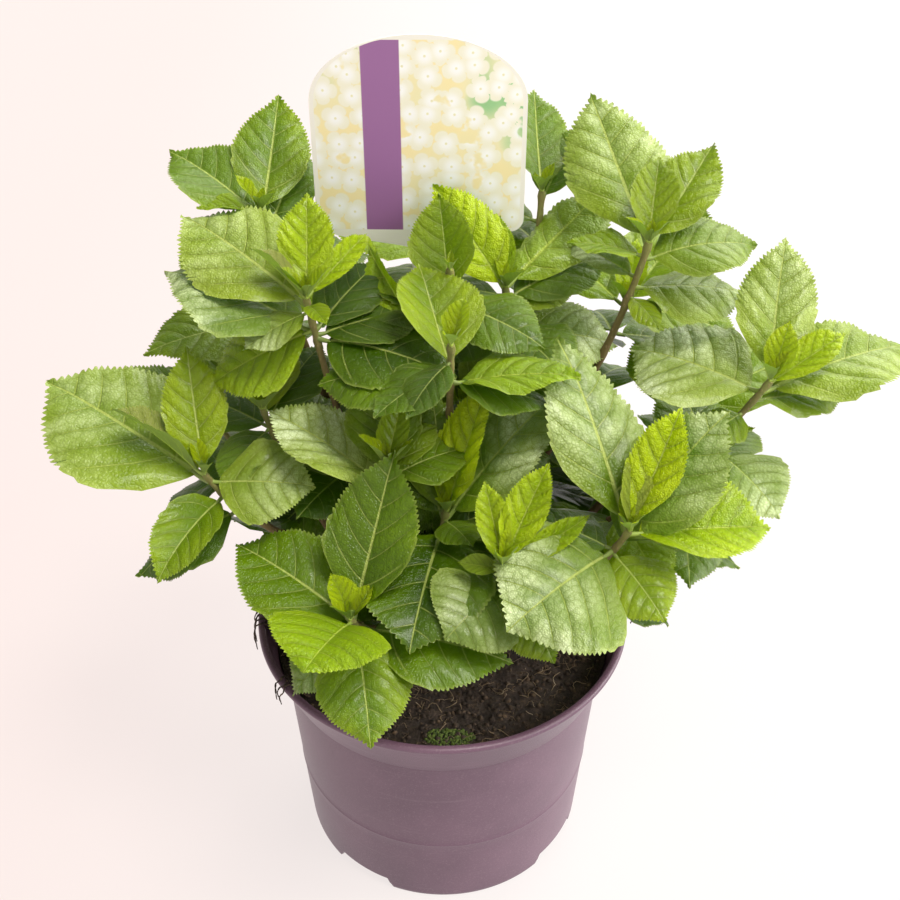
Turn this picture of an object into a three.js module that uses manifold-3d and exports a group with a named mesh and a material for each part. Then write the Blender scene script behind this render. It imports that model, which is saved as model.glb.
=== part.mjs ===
// A bigleaf hydrangea in its nursery pot: pot, compost, care label, stems, boughs and masses of foliage.
// Millimetres, +Z up, -Y towards the front. The origin is the centre of the pot's flat underside.
import * as THREE from 'three';
import { mergeVertices } from 'three/addons/utils/BufferGeometryUtils.js';
import Module from 'manifold-3d';

const wasm = await Module();
wasm.setup();

const GAP = 0.3; // clear space between neighbouring solids
const LEAF_GAP = 1.2; // the same, between pads of foliage whose faces slope
const MERGE_DISTANCE = 1e-3; // corners nearer than this are one corner
const OVERRUN = 1; // how far a cutting solid runs past the face that it cuts

// Pot: a tapering body, a collar that flares to the rim, and four shallow channels under the floor.
const POT_HEIGHT = 171;
const RIM_RADIUS = 115;
const RIM_BEAD = 5;
const COLLAR_FOOT = 137;
const COLLAR_RADIUS = 100.4;
const COLLAR_STEP = 0.9;
const BASE_RADIUS = 91.7;
const WALL = 2.4;
const POT_SIDES = 28;
const CHANNEL_COUNT = 4;
const CHANNEL_BEARING = 55;
const CHANNEL_ANGLE = 25;
const CHANNEL_HEIGHT = 9;
const CHANNEL_START = 48;
const COMPOST_TOP = 155;
const COMPOST_EDGE_DROP = 3;
const COMPOST_FLAT = 0.8; // the level middle of its face, as a share of the crown's radius
const COMPOST_CROWN = 10; // depth of the crown that is raised on the compost's block

// Care label: a stiff card with an arched top on a narrow tail that is pushed into the compost.
const LABEL_WIDTH = 120;
const LABEL_TOP = 500;
const LABEL_SHOULDER = 462;
const LABEL_FOOT = 300;
const LABEL_THICKNESS = 1;
const LABEL_ARC_STEPS = 9;
const LABEL_CENTRE = [-12, 91];
const TAIL_WIDTH = 24;
const TAIL_TIP = 110;

// Stems: woody, from a flat cut on the compost to the fork that carries the boughs.
const STEM_RADIUS = [4.6, 3.6];
const BOUGH_RADIUS = [3.1, 2.3];
const LIMB_SIDES = 5;
const STEM_STEPS = 3;
const FOOT_CUT = 8;
const NODE_RADIUS = 5.2;
const BOUGH_STEPS = 4;
const STEM_BEND = [0.5, 0.6]; // where a stem's bend lies: along its lean, and up its height
const BOUGH_BEND = [0.62, 0.42]; // the same for a bough

// Leaves: thin pointed pads round the bud at each shoot's tip.
const LEAF_WIDTH = 0.33; // half the widest span, as a share of the length
const LEAF_WIDEST = 0.42; // where along the leaf that span lies
const LEAF_FULLNESS = 0.75; // below 1 the outline swells, above 1 it narrows
const LEAF_ARCH = 0.07; // height of the arch along the blade, as a share of the length
const PAD_THICKNESS = 4.4;
const BUD_RADIUS = 9;
const BALL_SIDES = 6;
const BALL_RINGS = 4;

// The stems' feet on the compost and the forks they lean out to.
const STEMS = {
  west: { foot: [-30, -4], fork: [-48, -6, 204] },
  north_west: { foot: [-24, 24], fork: [-38, 38, 212] },
  north: { foot: [0, 36], fork: [2, 68, 208] },
  north_east: { foot: [27, 24], fork: [44, 50, 212] },
  east: { foot: [36, -2], fork: [62, 4, 206] },
  south_east: { foot: [22, -26], fork: [42, -42, 200] },
  south_west: { foot: [-12, -24], fork: [-18, -42, 196] },
};

// Shoots: the stem each one leaves, the place of its tip, and its leaves as [bearing, rise, length].
// Bearings are in degrees from +X towards +Y, and rises are above level.
const SHOOTS = {
  mid_left: { stem: 'west', tip: [-103, 20, 306],
    leaves: [[92, 20, 54], [30, -5, 45], [150, 5, 60], [-120, -15, 50]] },
  left: { stem: 'west', tip: [-132, -20, 290],
    leaves: [[150, 14, 120], [10, -5, 60], [103, 45, 75], [-125, -30, 60], [80, -5, 65]] },
  upper_left: { stem: 'north_west', tip: [-72, 15, 382],
    leaves: [[143, 15, 98], [160, -8, 102], [92, 35, 68], [45, 25, 54], [-165, -30, 66], [-50, 0, 50]] },
  back_left: { stem: 'north_west', tip: [-102, 80, 402],
    leaves: [[88, 30, 82], [148, 15, 72], [60, 20, 60], [120, -15, 80], [30, -20, 70]] },
  centre: { stem: 'north', tip: [5, -20, 374],
    leaves: [[104, 18, 64], [-5, 0, 64], [-165, -10, 70], [-30, -18, 62], [-95, -25, 60]] },
  mid_back: { stem: 'north', tip: [5, 36, 388],
    leaves: [[94, 18, 58], [50, 25, 48], [170, -15, 46], [130, 5, 55], [10, -10, 60]] },
  label_foot: { stem: 'north_east', tip: [37, 60, 363],
    leaves: [[47, 14, 98], [20, -5, 52], [102, 32, 60], [-55, -15, 50], [160, -5, 50]] },
  back_centre: { stem: 'north_east', tip: [60, 116, 396],
    leaves: [[91, 30, 82], [62, 25, 58], [150, 0, 60], [-10, -10, 66], [110, -20, 80]] },
  upper_right: { stem: 'north_east', tip: [114, 46, 398],
    leaves: [[108, 25, 116], [54, 32, 76], [10, -8, 66], [-12, -22, 66], [150, -18, 52]] },
  right: { stem: 'east', tip: [177, -8, 343],
    leaves: [[85, 40, 84], [28, 2, 100], [8, 8, 58], [140, -8, 98], [-170, -25, 58]] },
  low_right: { stem: 'east', tip: [160, 2, 288],
    leaves: [[-40, -40, 52], [40, -15, 72], [100, 0, 76]] },
  right_front: { stem: 'south_east', tip: [98, -70, 291],
    leaves: [[108, 32, 115], [55, 45, 73], [10, -5, 84], [-150, -14, 80], [-60, -30, 54]] },
  front_right: { stem: 'south_east', tip: [31, -80, 275],
    leaves: [[60, 25, 64], [105, 30, 50], [22, 8, 60], [-145, -20, 56], [-65, -20, 52]] },
  front_left: { stem: 'south_west', tip: [-49, -90, 246],
    leaves: [[72, 35, 99], [140, 8, 92], [-175, -8, 46], [-78, -28, 74], [-140, -25, 54], [-12, -8, 92]] },
  heart: { stem: 'south_west', tip: [2, -30, 272],
    leaves: [[76, 45, 76], [-108, -35, 76], [20, 0, 70], [175, -10, 60]] },
  heart_left: { stem: 'south_west', tip: [-30, -30, 304],
    leaves: [[150, 12, 82], [12, 18, 100], [88, 40, 44], [-110, -5, 60]] },
  back: { stem: 'north', tip: [2, 142, 344],
    leaves: [[85, 20, 92], [175, 10, 74], [-5, 5, 70], [120, -20, 86], [50, -22, 84]] },
  back_right: { stem: 'north_east', tip: [118, 128, 312],
    leaves: [[50, 20, 98], [135, 15, 84], [-30, 0, 78], [95, -22, 84], [10, -22, 84]] },
  low_back_left: { stem: 'north_west', tip: [-112, 128, 302],
    leaves: [[130, 20, 98], [50, 15, 80], [-150, 0, 84], [165, -22, 82], [90, -22, 82]] },
  low_left: { stem: 'west', tip: [-138, 62, 266],
    leaves: [[160, 12, 90], [90, 15, 74], [-120, -15, 56], [125, -25, 76]] },
  low_east: { stem: 'east', tip: [146, 70, 268],
    leaves: [[20, 15, 94], [95, 18, 72], [-50, -10, 74], [60, -25, 78]] },
};

const rad = THREE.MathUtils.degToRad;

const plastic = new THREE.MeshStandardMaterial({ color: 0x8f7079, roughness: 0.55, metalness: 0 });
const peat = new THREE.MeshStandardMaterial({ color: 0x2e2722, roughness: 0.95, metalness: 0 });
const card = new THREE.MeshStandardMaterial({ color: 0xe9e4d2, roughness: 0.4, metalness: 0 });
const bark = new THREE.MeshStandardMaterial({ color: 0x7a6a4c, roughness: 0.8, metalness: 0 });
const leaf = new THREE.MeshStandardMaterial({ color: 0x5b7a22, roughness: 0.5, metalness: 0 });

// A closed geometry as a solid that can be joined and cut.
function solid(geometry) {
  const bare = geometry.index ? geometry.clone() : geometry;
  bare.deleteAttribute('normal');
  bare.deleteAttribute('uv');
  const merged = mergeVertices(bare, MERGE_DISTANCE);
  const vertProperties = new Float32Array(merged.attributes.position.array);
  const triVerts = new Uint32Array(merged.index.array);
  return new wasm.Manifold(new wasm.Mesh({ numProp: 3, vertProperties, triVerts }));
}

// The largest single piece of a solid, as a named mesh.
function meshOf(name, body, material) {
  const pieces = body.decompose().sort((a, b) => b.volume() - a.volume());
  const { vertProperties, triVerts } = pieces[0].getMesh();
  const geometry = new THREE.BufferGeometry();
  geometry.setAttribute('position', new THREE.BufferAttribute(vertProperties, 3));
  geometry.setIndex(new THREE.BufferAttribute(triVerts, 1));
  const mesh = new THREE.Mesh(geometry, material);
  mesh.name = name;
  return mesh;
}

// A solid of revolution about Z from [radius, height] pairs that start and end on the axis.
function turned(profile) {
  const points = profile.map(([r, z]) => new THREE.Vector2(r, z));
  return solid(new THREE.LatheGeometry(points, POT_SIDES).rotateX(Math.PI / 2));
}

// A level ring sector, used for the channels under the pot.
function sector(inner, outer, halfAngle, bottom, top) {
  const shape = new THREE.Shape();
  shape.absarc(0, 0, outer, -halfAngle, halfAngle, false);
  shape.absarc(0, 0, inner, halfAngle, -halfAngle, true);
  const options = { depth: top - bottom, bevelEnabled: false, curveSegments: 2 };
  return solid(new THREE.ExtrudeGeometry(shape, options).translate(0, 0, bottom));
}

// Every channel under the floor, grown by a margin on its sides, its roof and its inner end.
function channels(margin, outer) {
  const halfAngle = rad(CHANNEL_ANGLE / 2) + margin / BASE_RADIUS;
  const one = sector(CHANNEL_START - margin, outer, halfAngle, -OVERRUN, CHANNEL_HEIGHT + margin);
  const step = 360 / CHANNEL_COUNT;
  const bearings = Array.from({ length: CHANNEL_COUNT }, (_, i) => CHANNEL_BEARING + i * step);
  return wasm.Manifold.union(bearings.map((bearing) => one.rotate([0, 0, bearing])));
}

// The pot's outer profile drawn in by an inset, from the axis at a floor height up to a top height.
// What lies inside the wall steps out a little higher, so that it clears the ledge under the collar.
function potProfile(inset, floor, top) {
  const slope = (COLLAR_RADIUS - BASE_RADIUS) / COLLAR_FOOT;
  const ledge = COLLAR_FOOT + Math.max(0, inset - WALL);
  const flare = (RIM_RADIUS - RIM_BEAD / 2 - COLLAR_RADIUS) / (POT_HEIGHT - RIM_BEAD - COLLAR_FOOT);
  const bodyAt = (z) => BASE_RADIUS + slope * z - inset;
  const collarAt = (z) => COLLAR_RADIUS + COLLAR_STEP + flare * (z - COLLAR_FOOT) - inset;
  return [[0, floor], [bodyAt(floor), floor], [bodyAt(ledge), ledge], [collarAt(ledge), ledge],
    [collarAt(top), top], [0, top]];
}

function potBody() {
  const beadFoot = POT_HEIGHT - RIM_BEAD;
  const bead = turned([[0, beadFoot - OVERRUN], [RIM_RADIUS, beadFoot], [RIM_RADIUS, POT_HEIGHT],
    [0, POT_HEIGHT]]);
  const outside = turned(potProfile(0, 0, beadFoot)).add(bead);
  const hollow = turned(potProfile(WALL, WALL, POT_HEIGHT + OVERRUN));
  return outside.subtract(hollow.subtract(channels(WALL, RIM_RADIUS))).subtract(channels(0, RIM_RADIUS));
}

function compostBody() {
  const inset = WALL + GAP;
  const block = turned(potProfile(inset, inset, COMPOST_TOP - COMPOST_EDGE_DROP));
  const foot = COMPOST_TOP - COMPOST_CROWN;
  const crown = turned([[0, foot], [COLLAR_RADIUS, foot], [COLLAR_RADIUS, COMPOST_TOP - COMPOST_EDGE_DROP],
    [COLLAR_RADIUS * COMPOST_FLAT, COMPOST_TOP], [0, COMPOST_TOP]]);
  return block.add(crown).subtract(channels(inset, RIM_RADIUS));
}

function labelBody(margin) {
  const half = LABEL_WIDTH / 2 + margin;
  const tail = TAIL_WIDTH / 2 + margin;
  const shape = new THREE.Shape();
  shape.moveTo(0, TAIL_TIP - margin);
  shape.lineTo(tail, TAIL_TIP + TAIL_WIDTH);
  shape.lineTo(tail, LABEL_FOOT - TAIL_WIDTH);
  shape.lineTo(half, LABEL_FOOT);
  shape.lineTo(half, LABEL_SHOULDER);
  shape.absellipse(0, LABEL_SHOULDER, half, LABEL_TOP + margin - LABEL_SHOULDER, 0, Math.PI, false);
  shape.lineTo(-half, LABEL_FOOT);
  shape.lineTo(-tail, LABEL_FOOT - TAIL_WIDTH);
  shape.lineTo(-tail, TAIL_TIP + TAIL_WIDTH);
  const depth = LABEL_THICKNESS + 2 * margin;
  const options = { depth, bevelEnabled: false, curveSegments: LABEL_ARC_STEPS };
  const geometry = new THREE.ExtrudeGeometry(shape, options);
  geometry.rotateX(Math.PI / 2).translate(LABEL_CENTRE[0], LABEL_CENTRE[1] + depth / 2, 0);
  return solid(geometry);
}

// A small ball, for the swollen node at a fork and for the bud at a shoot's tip.
function ball(centre, radius) {
  return solid(new THREE.SphereGeometry(radius, BALL_SIDES, BALL_RINGS).translate(...centre));
}

// A tapering limb: a closed cone whose rings are laid along a curve.
function limb(curve, [footRadius, tipRadius], steps, margin) {
  const radii = [tipRadius + margin, footRadius + margin];
  const geometry = new THREE.CylinderGeometry(...radii, 1, LIMB_SIDES, steps);
  const place = geometry.attributes.position;
  for (let i = 0; i < place.count; i += 1) {
    const along = place.getY(i) + 0.5;
    const tangent = curve.getTangent(along);
    const across = new THREE.Vector3(0, 1, 0).addScaledVector(tangent, -tangent.y).normalize();
    const side = new THREE.Vector3().crossVectors(tangent, across);
    const spot = curve.getPoint(along)
      .addScaledVector(across, place.getX(i))
      .addScaledVector(side, -place.getZ(i));
    place.setXYZ(i, spot.x, spot.y, spot.z);
  }
  return solid(geometry);
}

// A curve from start to end with one bend, at a share of the way along and a share of the way up.
function bentCurve(start, end, [along, up]) {
  const middle = start.clone().lerp(end, along);
  middle.z = THREE.MathUtils.lerp(start.z, end.z, up);
  return new THREE.QuadraticBezierCurve3(start, middle, end);
}

// A stem's centre line, which starts below the compost's face so that the foot can be cut flat there.
function stemCurve({ foot, fork }) {
  const start = new THREE.Vector3(foot[0], foot[1], COMPOST_TOP - FOOT_CUT);
  return bentCurve(start, new THREE.Vector3(...fork), STEM_BEND);
}

// A stem ends in the swollen node that its boughs grow from.
function stemBody(stem, margin) {
  const node = ball(stem.fork, NODE_RADIUS + margin);
  return limb(stemCurve(stem), STEM_RADIUS, STEM_STEPS, margin).add(node);
}

// A bough bends outwards from its stem's fork, then turns up to the shoot's tip.
function boughCurve({ stem, tip }) {
  const start = new THREE.Vector3(...STEMS[stem].fork);
  return bentCurve(start, new THREE.Vector3(...tip), BOUGH_BEND);
}

function direction(bearing, rise) {
  const turn = rad(bearing);
  const level = Math.cos(rad(rise));
  return new THREE.Vector3(level * Math.cos(turn), level * Math.sin(turn), Math.sin(rad(rise)));
}

// Half the width of a leaf at a share of its length, as a part of its widest half.
function outline(along) {
  const reach = along < LEAF_WIDEST ? along / LEAF_WIDEST : (1 - along) / (1 - LEAF_WIDEST);
  return Math.sin((Math.PI / 2) * reach ** LEAF_FULLNESS);
}

// One leaf as a thin pad: a four-sided ball drawn out into a pointed, arched blade with a ridge.
function leafPad([bearing, rise, length], tip, margin) {
  const forward = direction(bearing, rise);
  const across = direction(bearing + 90, 0);
  const normal = new THREE.Vector3().crossVectors(forward, across);
  const geometry = new THREE.SphereGeometry(1, 4, 3);
  const place = geometry.attributes.position;
  for (let i = 0; i < place.count; i += 1) {
    const ring = Math.max(Math.hypot(place.getX(i), place.getZ(i)), MERGE_DISTANCE);
    const along = 0.5 - place.getY(i) / 2;
    const turnX = place.getX(i) / ring;
    const turnZ = place.getZ(i) / ring;
    const width = outline(along) * LEAF_WIDTH * length + margin;
    const thick = outline(along) * PAD_THICKNESS + margin;
    const arch = LEAF_ARCH * length * 4 * along * (1 - along);
    const spot = new THREE.Vector3(...tip)
      .addScaledVector(forward, along * length + (2 * along - 1) * margin)
      .addScaledVector(across, turnX * width)
      .addScaledVector(normal, turnZ * thick + arch);
    place.setXYZ(i, spot.x, spot.y, spot.z);
  }
  return solid(geometry);
}

// A mass of foliage: the shoot's bud and its leaves, joined.
function foliage({ tip, leaves }, margin) {
  const pads = leaves.map((row) => leafPad(row, tip, margin));
  return wasm.Manifold.union([ball(tip, BUD_RADIUS + margin), ...pads]);
}

const plant = new THREE.Group();
plant.add(meshOf('pot', potBody(), plastic));
plant.add(meshOf('care_label', labelBody(0), card));

const stemNames = Object.keys(STEMS);
const shootNames = Object.keys(SHOOTS);
const labelSpace = labelBody(GAP);
plant.add(meshOf('compost', compostBody().subtract(labelSpace), peat));

// Everything inside the rim and below the compost's face is closed to the plant.
const ground = turned([[0, 0], [RIM_RADIUS, 0], [RIM_RADIUS, COMPOST_TOP + GAP], [0, COMPOST_TOP + GAP]]);
const stemSpaces = stemNames.map((name) => stemBody(STEMS[name], GAP));
for (const name of stemNames) {
  plant.add(meshOf(`stem_${name}`, stemBody(STEMS[name], 0).subtract(ground), bark));
}

// Boughs: each starts on its stem, clear of those already made.
let taken = wasm.Manifold.union([labelSpace, ...stemSpaces]);
const boughs = {};
const boughSpaces = {};
for (const name of shootNames) {
  const curve = boughCurve(SHOOTS[name]);
  boughs[name] = limb(curve, BOUGH_RADIUS, BOUGH_STEPS, 0).subtract(taken);
  boughSpaces[name] = limb(curve, BOUGH_RADIUS, BOUGH_STEPS, GAP);
  taken = taken.add(boughSpaces[name]);
}

// Foliage: each mass is cut clear of the label, the other boughs and the masses already made,
// and its own bough ends where it enters the mass.
const potSpace = turned([[0, 0], [RIM_RADIUS + GAP, 0], [RIM_RADIUS + GAP, POT_HEIGHT + GAP],
  [0, POT_HEIGHT + GAP]]);
let leafy = wasm.Manifold.union([labelSpace, potSpace]);
for (const name of shootNames) {
  const others = shootNames.filter((other) => other !== name).map((other) => boughSpaces[other]);
  const mass = foliage(SHOOTS[name], 0).subtract(wasm.Manifold.union([leafy, ...others, ...stemSpaces]));
  plant.add(meshOf(`foliage_${name}`, mass, leaf));
  plant.add(meshOf(`bough_${name}`, boughs[name].subtract(foliage(SHOOTS[name], GAP)), bark));
  leafy = leafy.add(foliage(SHOOTS[name], LEAF_GAP));
}

export default plant;
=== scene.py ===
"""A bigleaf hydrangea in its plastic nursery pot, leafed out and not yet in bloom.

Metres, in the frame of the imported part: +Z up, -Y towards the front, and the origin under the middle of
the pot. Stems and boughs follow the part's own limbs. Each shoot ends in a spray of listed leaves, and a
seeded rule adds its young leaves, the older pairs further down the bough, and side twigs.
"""

import math
from collections import namedtuple

import bpy
import numpy as np
from mathutils import Euler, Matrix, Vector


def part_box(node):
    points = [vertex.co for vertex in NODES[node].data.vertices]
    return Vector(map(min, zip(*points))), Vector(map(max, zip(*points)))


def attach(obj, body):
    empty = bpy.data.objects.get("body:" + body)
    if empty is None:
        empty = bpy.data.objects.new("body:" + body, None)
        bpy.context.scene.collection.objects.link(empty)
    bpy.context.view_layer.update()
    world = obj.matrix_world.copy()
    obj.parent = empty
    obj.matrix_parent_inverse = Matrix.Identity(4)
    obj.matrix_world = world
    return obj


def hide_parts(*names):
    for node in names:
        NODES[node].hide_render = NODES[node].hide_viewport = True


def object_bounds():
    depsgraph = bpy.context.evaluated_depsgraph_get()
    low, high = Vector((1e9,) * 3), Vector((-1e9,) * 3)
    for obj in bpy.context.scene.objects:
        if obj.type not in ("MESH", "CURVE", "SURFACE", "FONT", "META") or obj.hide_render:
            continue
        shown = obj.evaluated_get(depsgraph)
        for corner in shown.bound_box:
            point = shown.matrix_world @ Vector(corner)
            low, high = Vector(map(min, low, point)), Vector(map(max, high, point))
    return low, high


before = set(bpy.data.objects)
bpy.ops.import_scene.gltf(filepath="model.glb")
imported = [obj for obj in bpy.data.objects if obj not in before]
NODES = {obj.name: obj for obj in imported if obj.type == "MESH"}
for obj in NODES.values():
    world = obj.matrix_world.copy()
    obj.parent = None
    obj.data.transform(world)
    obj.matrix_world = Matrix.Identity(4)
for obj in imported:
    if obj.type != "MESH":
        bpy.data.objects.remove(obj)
PART_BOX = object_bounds()
MM = 0.001
SEED = 7

# Camera, with its angles in degrees, and lens and sensor in millimetres
CAMERA_PLACE = (0.0, -0.5694, 0.7190)
CAMERA_PITCH = 36.78
CAMERA_YAW = 0.46
CAMERA_LENS = 50.0
CAMERA_SENSOR = 36.0
FLOOR_REACH = 9.0

# Each light: its tilt from overhead and its bearing, its spread, all in degrees, its strength and its colour
LIGHTS = {
    "overhead": (20, 60, 22, 2.6, (1.0, 0.975, 0.9)),
    "side": (52, 56, 26, 1.2, (1.0, 0.98, 0.93)),
    "backdrop": (56, 152, 44, 2.3, (1.0, 0.98, 0.92)),
    "edge": (70, 98, 34, 2.7, (1.0, 0.98, 0.95)),
    "fill": (62, -30, 60, 0.35, (1.0, 0.97, 0.95)),
}

# Pot, as turned about Z
POT_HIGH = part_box("pot")[1]
RIM_RADIUS = POT_HIGH.x
POT_HEIGHT = POT_HIGH.z
POT_MOUTH = 98 * MM
BASE_RADIUS = 91.7 * MM
COLLAR_FOOT = 137 * MM
COLLAR_RADIUS = 100.4 * MM
COLLAR_STEP = 1.1 * MM
WALL = 2.4 * MM
BEAD_HEIGHT = 5 * MM
BEAD_OVERHANG = 2.4 * MM
BEAD_RADIUS = 2.1 * MM
RING_HEIGHT = 58 * MM
RING_RISE = 0.35 * MM
RING_WIDTH = 0.7 * MM
CHANNEL_COUNT = 4
CHANNEL_BEARING = math.radians(55)
CHANNEL_HALF_ANGLE = math.radians(12.5)
CHANNEL_HEIGHT = 9 * MM
CHANNEL_START = 48 * MM
POT_SEGMENTS = 288

# Compost, and the patch of moss on it
COMPOST_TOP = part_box("compost")[1].z
COMPOST_GAP = 0.4 * MM
COMPOST_SEGMENTS = 200
COMPOST_RINGS = 74
MOSS_PLACE = np.array([4, -90]) * MM
MOSS_REACH = np.array([15, 6]) * MM

# Picture label: a card with an arched head, on a narrow tail
LABEL_LOW, LABEL_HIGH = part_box("care_label")
CARD_SHOULDER = 462 * MM
CARD_FOOT = 384 * MM
CARD_NECK = 10 * MM
CARD_TAIL = 5 * MM
CARD_CORNER = 8 * MM
CARD_THICKNESS = 0.8 * MM
CARD_BOW = 2.2 * MM
CARD_COLUMNS = 40
CARD_BORDER = 2.4 * MM
BAND_PLACE = -0.34
BAND_WIDTH = 0.34

# The swollen node on a stem's head, and how far a bough reaches into the bud at its tip
FORK_BALL = 5.2 * MM
BUD_BALL = 9.3 * MM

# How a blade is divided: rows along it, rows to a tooth, and half of its columns from midrib to edge
Grade = namedtuple("Grade", "rows tooth_rows columns")
FINE = Grade(64, 3, (0.05, 0.15, 0.3, 0.48, 0.67, 0.86, 1.0))
MIDDLING = Grade(44, 2, (0.06, 0.25, 0.5, 0.78, 1.0))
SMALL = Grade(36, 2, (0.08, 0.35, 0.7, 1.0))

# A blade's side veins, its widest place as a share of its length, and the stalk's share of the whole leaf
VEIN_COUNT = 6
VEIN_STAGGER = 0.22
VEIN_LEAN = 0.55
VEIN_CURVE = 1.9
VEIN_REACH = 0.33
WIDEST = 0.44
BROAD_BLADE = 0.68
BLADE_THICKNESS = 0.34 * MM
PETIOLE_SHARE = 0.08

# One leaf: where it points from its node (bearing from +X, rise above level, in degrees), its length from
# the node to its tip in millimetres, its tone from 0 (oldest, darkest) to 1 (lime), breadth as a share of
# its length, how far it arches over, folds along the midrib and rolls about it, in degrees, how far below
# the shoot's tip it leaves the bough, in millimetres, how bronzed it is, and how strongly a pale painted
# sheen lies on its face.
# The darkest tones stand partly for the oldest leaves and partly as painted shade on leaves deep in shadow
Leaf = namedtuple("Leaf", "bearing rise length tone breadth bend fold roll drop bronze pale",
                  defaults=(0.4, 0.62, 22, 12, 0, 0, 0, 0))

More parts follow.
